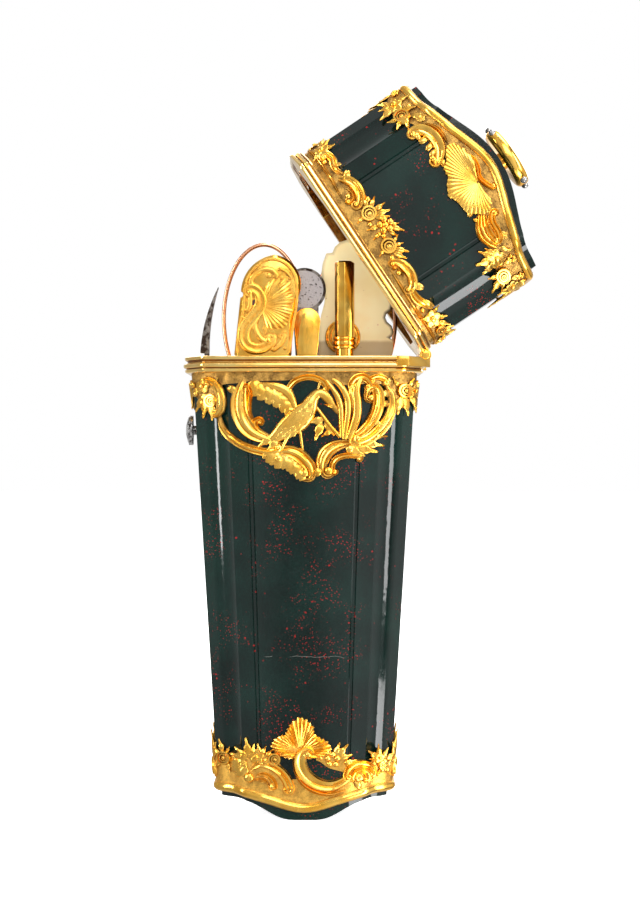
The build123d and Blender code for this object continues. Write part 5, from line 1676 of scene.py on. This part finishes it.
@dataclass(frozen=True)
class Tablets:
    """Four ivory leaves with a shouldered head and small notches down the right edge.

    Right of notched_from, between two heights, lie the notches; above head_from lies the head.
    """

    fronts: tuple = (-1.05, -0.25, 0.55, 1.35)
    thick: float = 0.7
    soft: float = 0.12
    rim: float = 0.45
    notched_from: float = 11.3
    notched_between: Point = (3.0, 15.2)
    head_from: float = 13.0
    head_shade: float = 0.45
    head: Route = (
        (2.4, 1.0), (2.5, 5.2), (2.8, 7.3), (3.4, 9.6), (3.5, 11.8), (2.95, 13.4), (2.88, 14.6), (3.1, 16.2),
        (3.7, 17.9), (4.75, 18.0), (5.15, 19.0), (6.0, 19.8), (7.2, 20.2), (8.5, 20.0), (9.6, 19.2),
        (10.0, 18.2), (10.9, 17.8), (11.4, 16.4),
    )
    right: Route = (
        (11.9, 14.6), (12.5, 13.5), (13.2, 12.5), (14.1, 11.7), (14.5, 10.4), (14.9, 9.2), (14.6, 8.3),
        (13.9, 7.7), (13.7, 7.0), (14.0, 6.3), (14.8, 5.6), (15.1, 4.6), (14.9, 3.9), (14.5, 3.6),
        (15.0, 3.0), (15.1, 1.6), (14.7, 0.5),
    )
    foot: Route = ((11.6, -52.0), (3.2, -52.0))

    def _edge_shade_at(self, x: float, z: float) -> float:
        """How much painted shade the edge gets at a place: full in the notches, half round the head, else
        none.
        """
        if x > self.notched_from and self.notched_between[0] < z < self.notched_between[1]:
            return 1.0
        return self.head_shade if z > self.head_from else 0.0

    def build(self, finishes: Finishes) -> None:
        """Cuts the leaves, paints shade on their edges, most in the notches, and hangs them on the rosette's
        body.
        """
        outline = self.head + self.right + self.foot
        for i, front in enumerate(self.fronts, 1):
            piece = plate(f"ivory_leaf_{i}", outline, front, self.thick, self.soft, self.rim)
            # The edge mask turns into painted shade on the ivory: full in the notches, half round the head.
            for value, vertex in zip(piece.data.attributes["edge"].data, piece.data.vertices):
                value.value *= self._edge_shade_at(vertex.co.x / MM, vertex.co.z / MM - MOUTH)
            finishes.place(piece, "ivory", Part.TABLETS, f"tablet_leaf_{i}")


@dataclass(frozen=True)
class KnifeChasing:
    """Chasing on the knife's handle: a shell that spreads from an S-scroll, inside a raised border.

    Depth is the share of the drawn height that is modelled, and shown the share that the finish sees when it
    paints shade in the hollows. The eye is the middle of a near-black disc: painted shade in the scroll's
    eye.
    """

    face: float = -8.38
    depth: float = 0.8
    shown: float = 1.5
    border_size: Point = (0.5, 0.34)
    line_height: float = 0.34
    height_by_width: float = 0.16
    curl: float = 0.34
    leaf: Point = (1.3, 1.3)
    eye: Point = (-8.2, 9.0)
    shade_disc_size: Point = (0.5, 0.1)
    shade_disc_out: float = 0.12
    border: Route = (
        (-11.1, 0.7), (-11.1, 3.0), (-10.7, 5.4), (-10.1, 7.4), (-9.9, 9.2), (-9.9, 10.8), (-9.6, 12.6),
        (-8.7, 14.3), (-7.2, 15.7), (-5.6, 16.3), (-4.0, 16.0), (-2.5, 15.0), (-1.5, 13.4), (-1.1, 11.4),
        (-1.2, 9.0), (-1.6, 6.4), (-2.1, 3.6), (-2.5, 0.7),
    )
    shell: Shell = Shell(
        (-7.2, 8.6),
        ((-6.0, 12.2), (-4.9, 13.0), (-3.6, 13.1), (-2.5, 12.5), (-2.2, 11.6), (-1.9, 10.8), (-2.1, 10.0),
         (-1.8, 9.2), (-2.1, 8.3), (-2.0, 7.4), (-2.5, 6.7), (-2.4, 5.8), (-3.2, 5.2), (-3.9, 4.6),
         (-5.2, 4.5), (-6.2, 4.9)),
        19, 0.3, 0.62, 0.11, 5.0,
    )
    strokes: tuple = (
        (((-8.7, 11.4), (-7.8, 11.0), (-7.1, 9.9), (-7.2, 8.3), (-8.5, 6.6), (-9.9, 5.0), (-10.2, 3.0),
          (-9.2, 1.5), (-7.4, 1.2), (-5.6, 2.2)), 2.1, Line.DOUBLE),
        (((-8.9, 12.4), (-8.4, 13.6), (-7.0, 14.6), (-5.3, 14.5), (-4.6, 13.7)), 0.9, Line.ROUND),
        (((-8.3, 5.6), (-7.9, 3.9), (-6.8, 2.6), (-5.4, 2.3), (-4.9, 3.1)), 1.0, Line.ROUND),
        (((-9.2, 7.8), (-8.9, 9.0), (-8.9, 10.2)), 0.8, Line.ROUND),
        (((-4.9, 1.2), (-3.9, 2.0), (-3.2, 3.4)), 0.8, Line.ROUND),
        (((-3.9, 14.6), (-2.9, 14.1), (-2.2, 13.2)), 0.6, Line.ROUND),
        (((-10.3, 6.6), (-9.2, 6.0), (-8.5, 5.0)), 0.5, Line.ROUND),
    )
    beads: tuple[Spot, ...] = ((-5.9, 13.5, 1.0), (-5.9, 3.3, 1.0), (-9.3, 11.0, 0.7), (-3.2, 1.4, 0.6))
    leaves: tuple[Spot, ...] = (
        (-8.6, 10.4, 120), (-8.4, 9.4, 170), (-8.4, 12.6, 120), (-6.6, 1.6, 20), (-4.2, 13.4, -30),
        (-7.9, 7.2, 190), (-9.4, 3.0, 150), (-7.4, 14.0, 80), (-5.8, 11.6, 60), (-3.2, 13.6, 20),
        (-4.4, 3.9, -60), (-3.4, 4.6, -70), (-6.6, 5.2, -80),
    )

    def _draw(self, flat: Relief) -> None:
        """Models the chasing flat."""
        flat.line(self.border, *self.border_size, lift=0.0)
        flat.palmette(self.shell)
        for route, width, line in self.strokes:
            height = self.line_height + self.height_by_width * width
            flat.scroll(Scroll(route, width, height, line=line, eye=self.curl), 0.0)
        for x, z, size in self.beads:
            flat.stamp("bead", x, z, size, lift=0.15, tall=0.6)
        for x, z, turn in self.leaves:
            flat.stamp("leaf", x, z, self.leaf[0], turn, 0.2, self.leaf[1], 0.8)

    def build(self, stamps: Stamps, finishes: Finishes) -> None:
        """Lays the chasing on the handle's face and adds a near-black disc, painted shade in the eye of its
        scroll.
        """
        flat = Relief(stamps)
        self._draw(flat)
        lay = lambda spot: Vector((spot.x, self.face - self.depth * spot.z, spot.y))
        piece = flat.laid("knife_chasing", lay, seat_matrix(Seat.BODY_FRONT), self.shown)
        flat.clear()
        # A near-black disc on the face: painted shade in the scroll's eye.
        radius, depth = self.shade_disc_size
        eye = primitive(
            bpy.ops.mesh.primitive_cylinder_add, vertices=24, radius=radius * MM, depth=depth * MM,
            rotation=(math.pi / 2, 0, 0),
            location=(self.eye[0] * MM, (self.face - self.shade_disc_out) * MM, (MOUTH + self.eye[1]) * MM))
        eye.name = "knife_eye_shade"
        finishes.place(piece, "knife_gold", Part.KNIFE)
        finishes.place(eye, "lined_wood", Part.KNIFE)


@dataclass(frozen=True)
class Rosette:
    """Turned rings round the boss that the tablets hang on."""

    centre: Spot = (6.5, -1.72, 3.7)
    rings: Route = ((2.78, 0.2), (2.05, 0.16), (1.2, 0.2))

    def build(self, finishes: Finishes) -> None:
        """Adds the rings as one piece."""
        rings = [primitive(bpy.ops.mesh.primitive_torus_add, major_segments=56, minor_segments=10,
                           major_radius=radius, minor_radius=thick, location=self.centre,
                           rotation=(math.pi / 2, 0, 0)) for radius, thick in self.rings]
        piece = join(rings, "rosette_rings")
        piece.data.transform(seat_matrix(Seat.BODY_FRONT))
        smooth(piece, 60.0)
        finishes.place(piece, "polished_gold", Part.TABLETS)


@dataclass(frozen=True)
class TweezerPad:
    """Rounded front of the tweezers' head, which catches the light."""

    middle: Spot = (0.5, -6.12, 3.2)
    size: Spot = (3.9, 0.62, 9.6)
    bottom: float = 0.2

    def build(self, finishes: Finishes) -> None:
        """Adds the domed plate."""
        piece = primitive(bpy.ops.mesh.primitive_uv_sphere_add, self.size, segments=40, ring_count=24,
                          radius=0.5)
        with editing():
            bpy.ops.transform.translate(value=self.middle)
            bpy.ops.mesh.bisect(plane_co=(0, 0, self.bottom), plane_no=(0, 0, -1), clear_outer=True,
                                use_fill=True)
        piece.name = "tweezer_pad"
        piece.data.transform(seat_matrix(Seat.BODY_FRONT))
        smooth(piece, 50.0)
        finishes.place(piece, "polished_gold", Part.TWEEZERS)


@dataclass(frozen=True)
class CadCopy:
    """Rounded copy that stands for a CAD node with hard edges."""

    node: str
    body: Part
    slot: str = "polished_gold"
    width: float = 0.12
    same_spot: float = 2e-6
    flat_within: float = 1.0

    def build(self, finishes: Finishes) -> None:
        """Copies the CAD node, merges it and rounds its edges."""
        piece = linked(f"soft_{self.node}", frame["nodes"][self.node].data.copy())
        select(piece)
        with editing():
            bpy.ops.mesh.remove_doubles(threshold=self.same_spot)
            bpy.ops.mesh.dissolve_limited(angle_limit=math.radians(self.flat_within))
        rounded(piece, self.width * MM, 3, 30)
        smooth(piece, 40.0)
        finishes.place(piece, self.slot, self.body, self.node)


# Studio


@dataclass(frozen=True)
class Studio:
    """Floor, white room, soft lights and the camera.

    The room's stops are (place round the horizon, grey); the lights are name, place, size and power.
    """

    round_room: Route = (
        (0.0, 0.45), (0.2, 0.45), (0.3, 0.8), (0.42, 0.5), (0.47, 0.85), (0.4865, 0.9), (0.4885, 0.28),
        (0.5, 0.28), (0.5025, 0.9), (0.53, 0.7), (0.6, 0.9), (0.75, 1.1), (0.86, 0.15), (1.0, 0.9),
    )
    lights: tuple = (
        ("left_box", (-0.32, -0.16, 0.16), (0.05, 0.34), 0.9),
        ("low_box", (0.12, -0.085, -0.04), (0.08, 0.08), 0.22),
        ("right_box", (0.34, -0.2, 0.14), (0.1, 0.34), 1.1),
        ("top_box", (0.12, -0.05, 0.46), (0.2, 0.3), 1.5),
        ("front_box", (0.1, -0.5, 0.34), (0.3, 0.3), 1.2),
        ("back_box", (0.1, 0.4, 0.3), (0.5, 0.3), 2.0),
    )
    lit: Spot = (0.0, 0.0, 0.06)
    viewpoint: Spot = (0.00264, -0.35, 0.0607)
    lens: float = 81.55
    sensor: float = 36.0

    def build(self, finishes: Finishes) -> None:
        """Sets up everything that isn't the object."""
        self._floor(finishes)
        self._world()
        for light in self.lights:
            self._light(*light)
        self._camera()

    @staticmethod
    def _floor(finishes: Finishes) -> None:
        """Wide pale floor."""
        floor = primitive(bpy.ops.mesh.primitive_plane_add, size=6.0)
        floor.name = "floor"
        finishes.dress(floor, "pale_floor")
        floor.visible_glossy = False

    def _world(self) -> None:
        """White room to look at, with dim walls to mirror in the gold and the stone."""
        world = bpy.data.worlds.new("studio")
        world.use_nodes = True
        tree = world.node_tree
        seen, output = tree.nodes["Background"], tree.nodes["World Output"]
        walls, way, split, across, spread, path, mix = (
            tree.nodes.new(f"ShaderNode{kind}") for kind in (
                "Background", "TexCoord", "SeparateXYZ", "ValToRGB", "MapRange", "LightPath", "MixShader"))
        seen.inputs[0].default_value = (1.0, 1.0, 1.0, 1.0)
        spread.inputs[1].default_value = -1.0
        stops = across.color_ramp.elements
        for i, (place, grey) in enumerate(self.round_room):
            stop = stops[i] if i < 2 else stops.new(place)
            stop.position = place
            stop.color = (grey, grey, grey, 1.0)
        for source, target in (
            (way.outputs["Generated"], split.inputs[0]), (split.outputs["X"], spread.inputs[0]),
            (spread.outputs[0], across.inputs[0]), (across.outputs[0], walls.inputs[0]),
            (path.outputs["Is Camera Ray"], mix.inputs[0]), (walls.outputs[0], mix.inputs[1]),
            (seen.outputs[0], mix.inputs[2]), (mix.outputs[0], output.inputs[0]),
        ):
            tree.links.new(source, target)
        bpy.context.scene.world = world
        bpy.context.scene.view_settings.view_transform = "Standard"

    def _light(self, name: str, spot: Spot, size: Point, power: float) -> None:
        """Soft box aimed at the middle of the case."""
        light = bpy.data.lights.new(name, "AREA")
        light.shape = "RECTANGLE"
        light.size, light.size_y = size
        light.energy = power
        holder = linked(name, light)
        holder.location = spot
        holder.rotation_euler = (Vector(self.lit) - Vector(spot)).to_track_quat("-Z", "Y").to_euler()

    def _camera(self) -> None:
        """Level camera at the photograph's place."""
        camera = bpy.data.cameras.new("camera")
        camera.lens = self.lens
        camera.sensor_width = camera.sensor_height = self.sensor
        camera.clip_start = 0.01
        holder = linked("camera", camera)
        holder.location = self.viewpoint
        holder.rotation_euler = (math.radians(90), 0, 0)
        bpy.context.scene.camera = holder


BODY_PROFILE = (
    (-0.12, 0.0), (-0.02, -0.05), (0.0, -0.14), (0.0, -0.45), (-0.08, -0.56), (-0.4, -0.62), (-0.5, -0.85),
    (-0.35, -1.08), (0.0, -1.13), (0.18, -1.26), (0.25, -1.5), (0.18, -1.74), (0.0, -1.86), (-0.38, -1.9),
    (-0.4, -2.02), (-0.1, -2.08), (0.0, -2.3), (-0.08, -2.52), (-0.3, -2.65),
)
LID_PROFILE = (
    (0.0, 0.05), (0.18, 0.1), (0.25, 0.25), (0.25, 0.5), (0.16, 0.68), (-0.1, 0.76), (-0.3, 0.8),
    (-0.32, 0.92), (-0.1, 0.97), (0.04, 1.1), (0.05, 1.3), (-0.02, 1.5), (-0.2, 1.6), (-0.42, 1.66),
    (-0.45, 1.8), (-0.3, 1.9), (-0.35, 2.02), (-0.5, 2.1),
)
KEPT_NODES = {
    "green_stone": (
        *(f"{part}_{side}" for part in ("body", "lid") for side in SIDES), "base_stone", "lid_cap_stone"),
    "gilt_lining": ("body_liner", "lid_liner"),
    "lined_wood": ("tool_block",),
    "old_mirror": ("mirror_glass",),
    "lead": ("pencil_lead",),
    "cut_stone": ("knob_stones", "button_stone"),
    "steel": ("latch_rivet", "knife_blade", "front_scissor_half", "back_scissor_half", "scissor_screw"),
    "copper_gold": ("left_bow", "right_bow"),
    "polished_gold": ("mount_nails", "pencil_stem", "knob_stem", "catch_plate"),
}
RIMS = (
    Rim("moulded_body_rim", "body_rim", Part.CASE, BODY_PROFILE, (5, 6, 13, 14)),
    Rim("moulded_lid_rim", "lid_rim", Part.LID, LID_PROFILE, (6, 7, 13, 14),
        notch=((-16.2, 0.0, 1.0), (4.4, 3.2, 4.0))),
)
COPIES = (
    CadCopy("hinge_lug", Part.CASE), CadCopy("hinge_pin", Part.CASE), CadCopy("lid_knuckle", Part.LID),
    CadCopy("knob", Part.LID, width=0.3), CadCopy("tweezers", Part.TWEEZERS),
    CadCopy("pencil_tube", Part.PENCIL, width=0.06), CadCopy("pencil_collar", Part.PENCIL, width=0.1),
    CadCopy("tablet_rosette", Part.TABLETS, width=0.1), CadCopy("knife_handle", Part.KNIFE, width=0.15),
    CadCopy("mirror_frame", Part.MIRROR, "dark_steel", 0.1),
    CadCopy("latch_spring", Part.LATCH, "dark_steel", 0.08),
    CadCopy("button_collet", Part.BUTTON, "silver", 0.08),
)


def main() -> None:
    """Builds the whole case."""
    logging.basicConfig(level=logging.INFO, format="%(message)s")
    finishes = Finishes()
    stamps = Stamps()
    for slot, nodes in KEPT_NODES.items():
        for node in nodes:
            finishes.dress(frame["nodes"][node], slot)
    for work in (Tablets(), Rosette(), TweezerPad()):
        work.build(finishes)
    for chasing in (upper_mount(), lower_mount(), lid_crest(), lid_garland(), KnifeChasing()):
        chasing.build(stamps, finishes)
    Relief.put_profiles_away()
    for work in (*RIMS, *COPIES, Studio()):
        work.build(finishes)


if __name__ == "__main__":
    main()
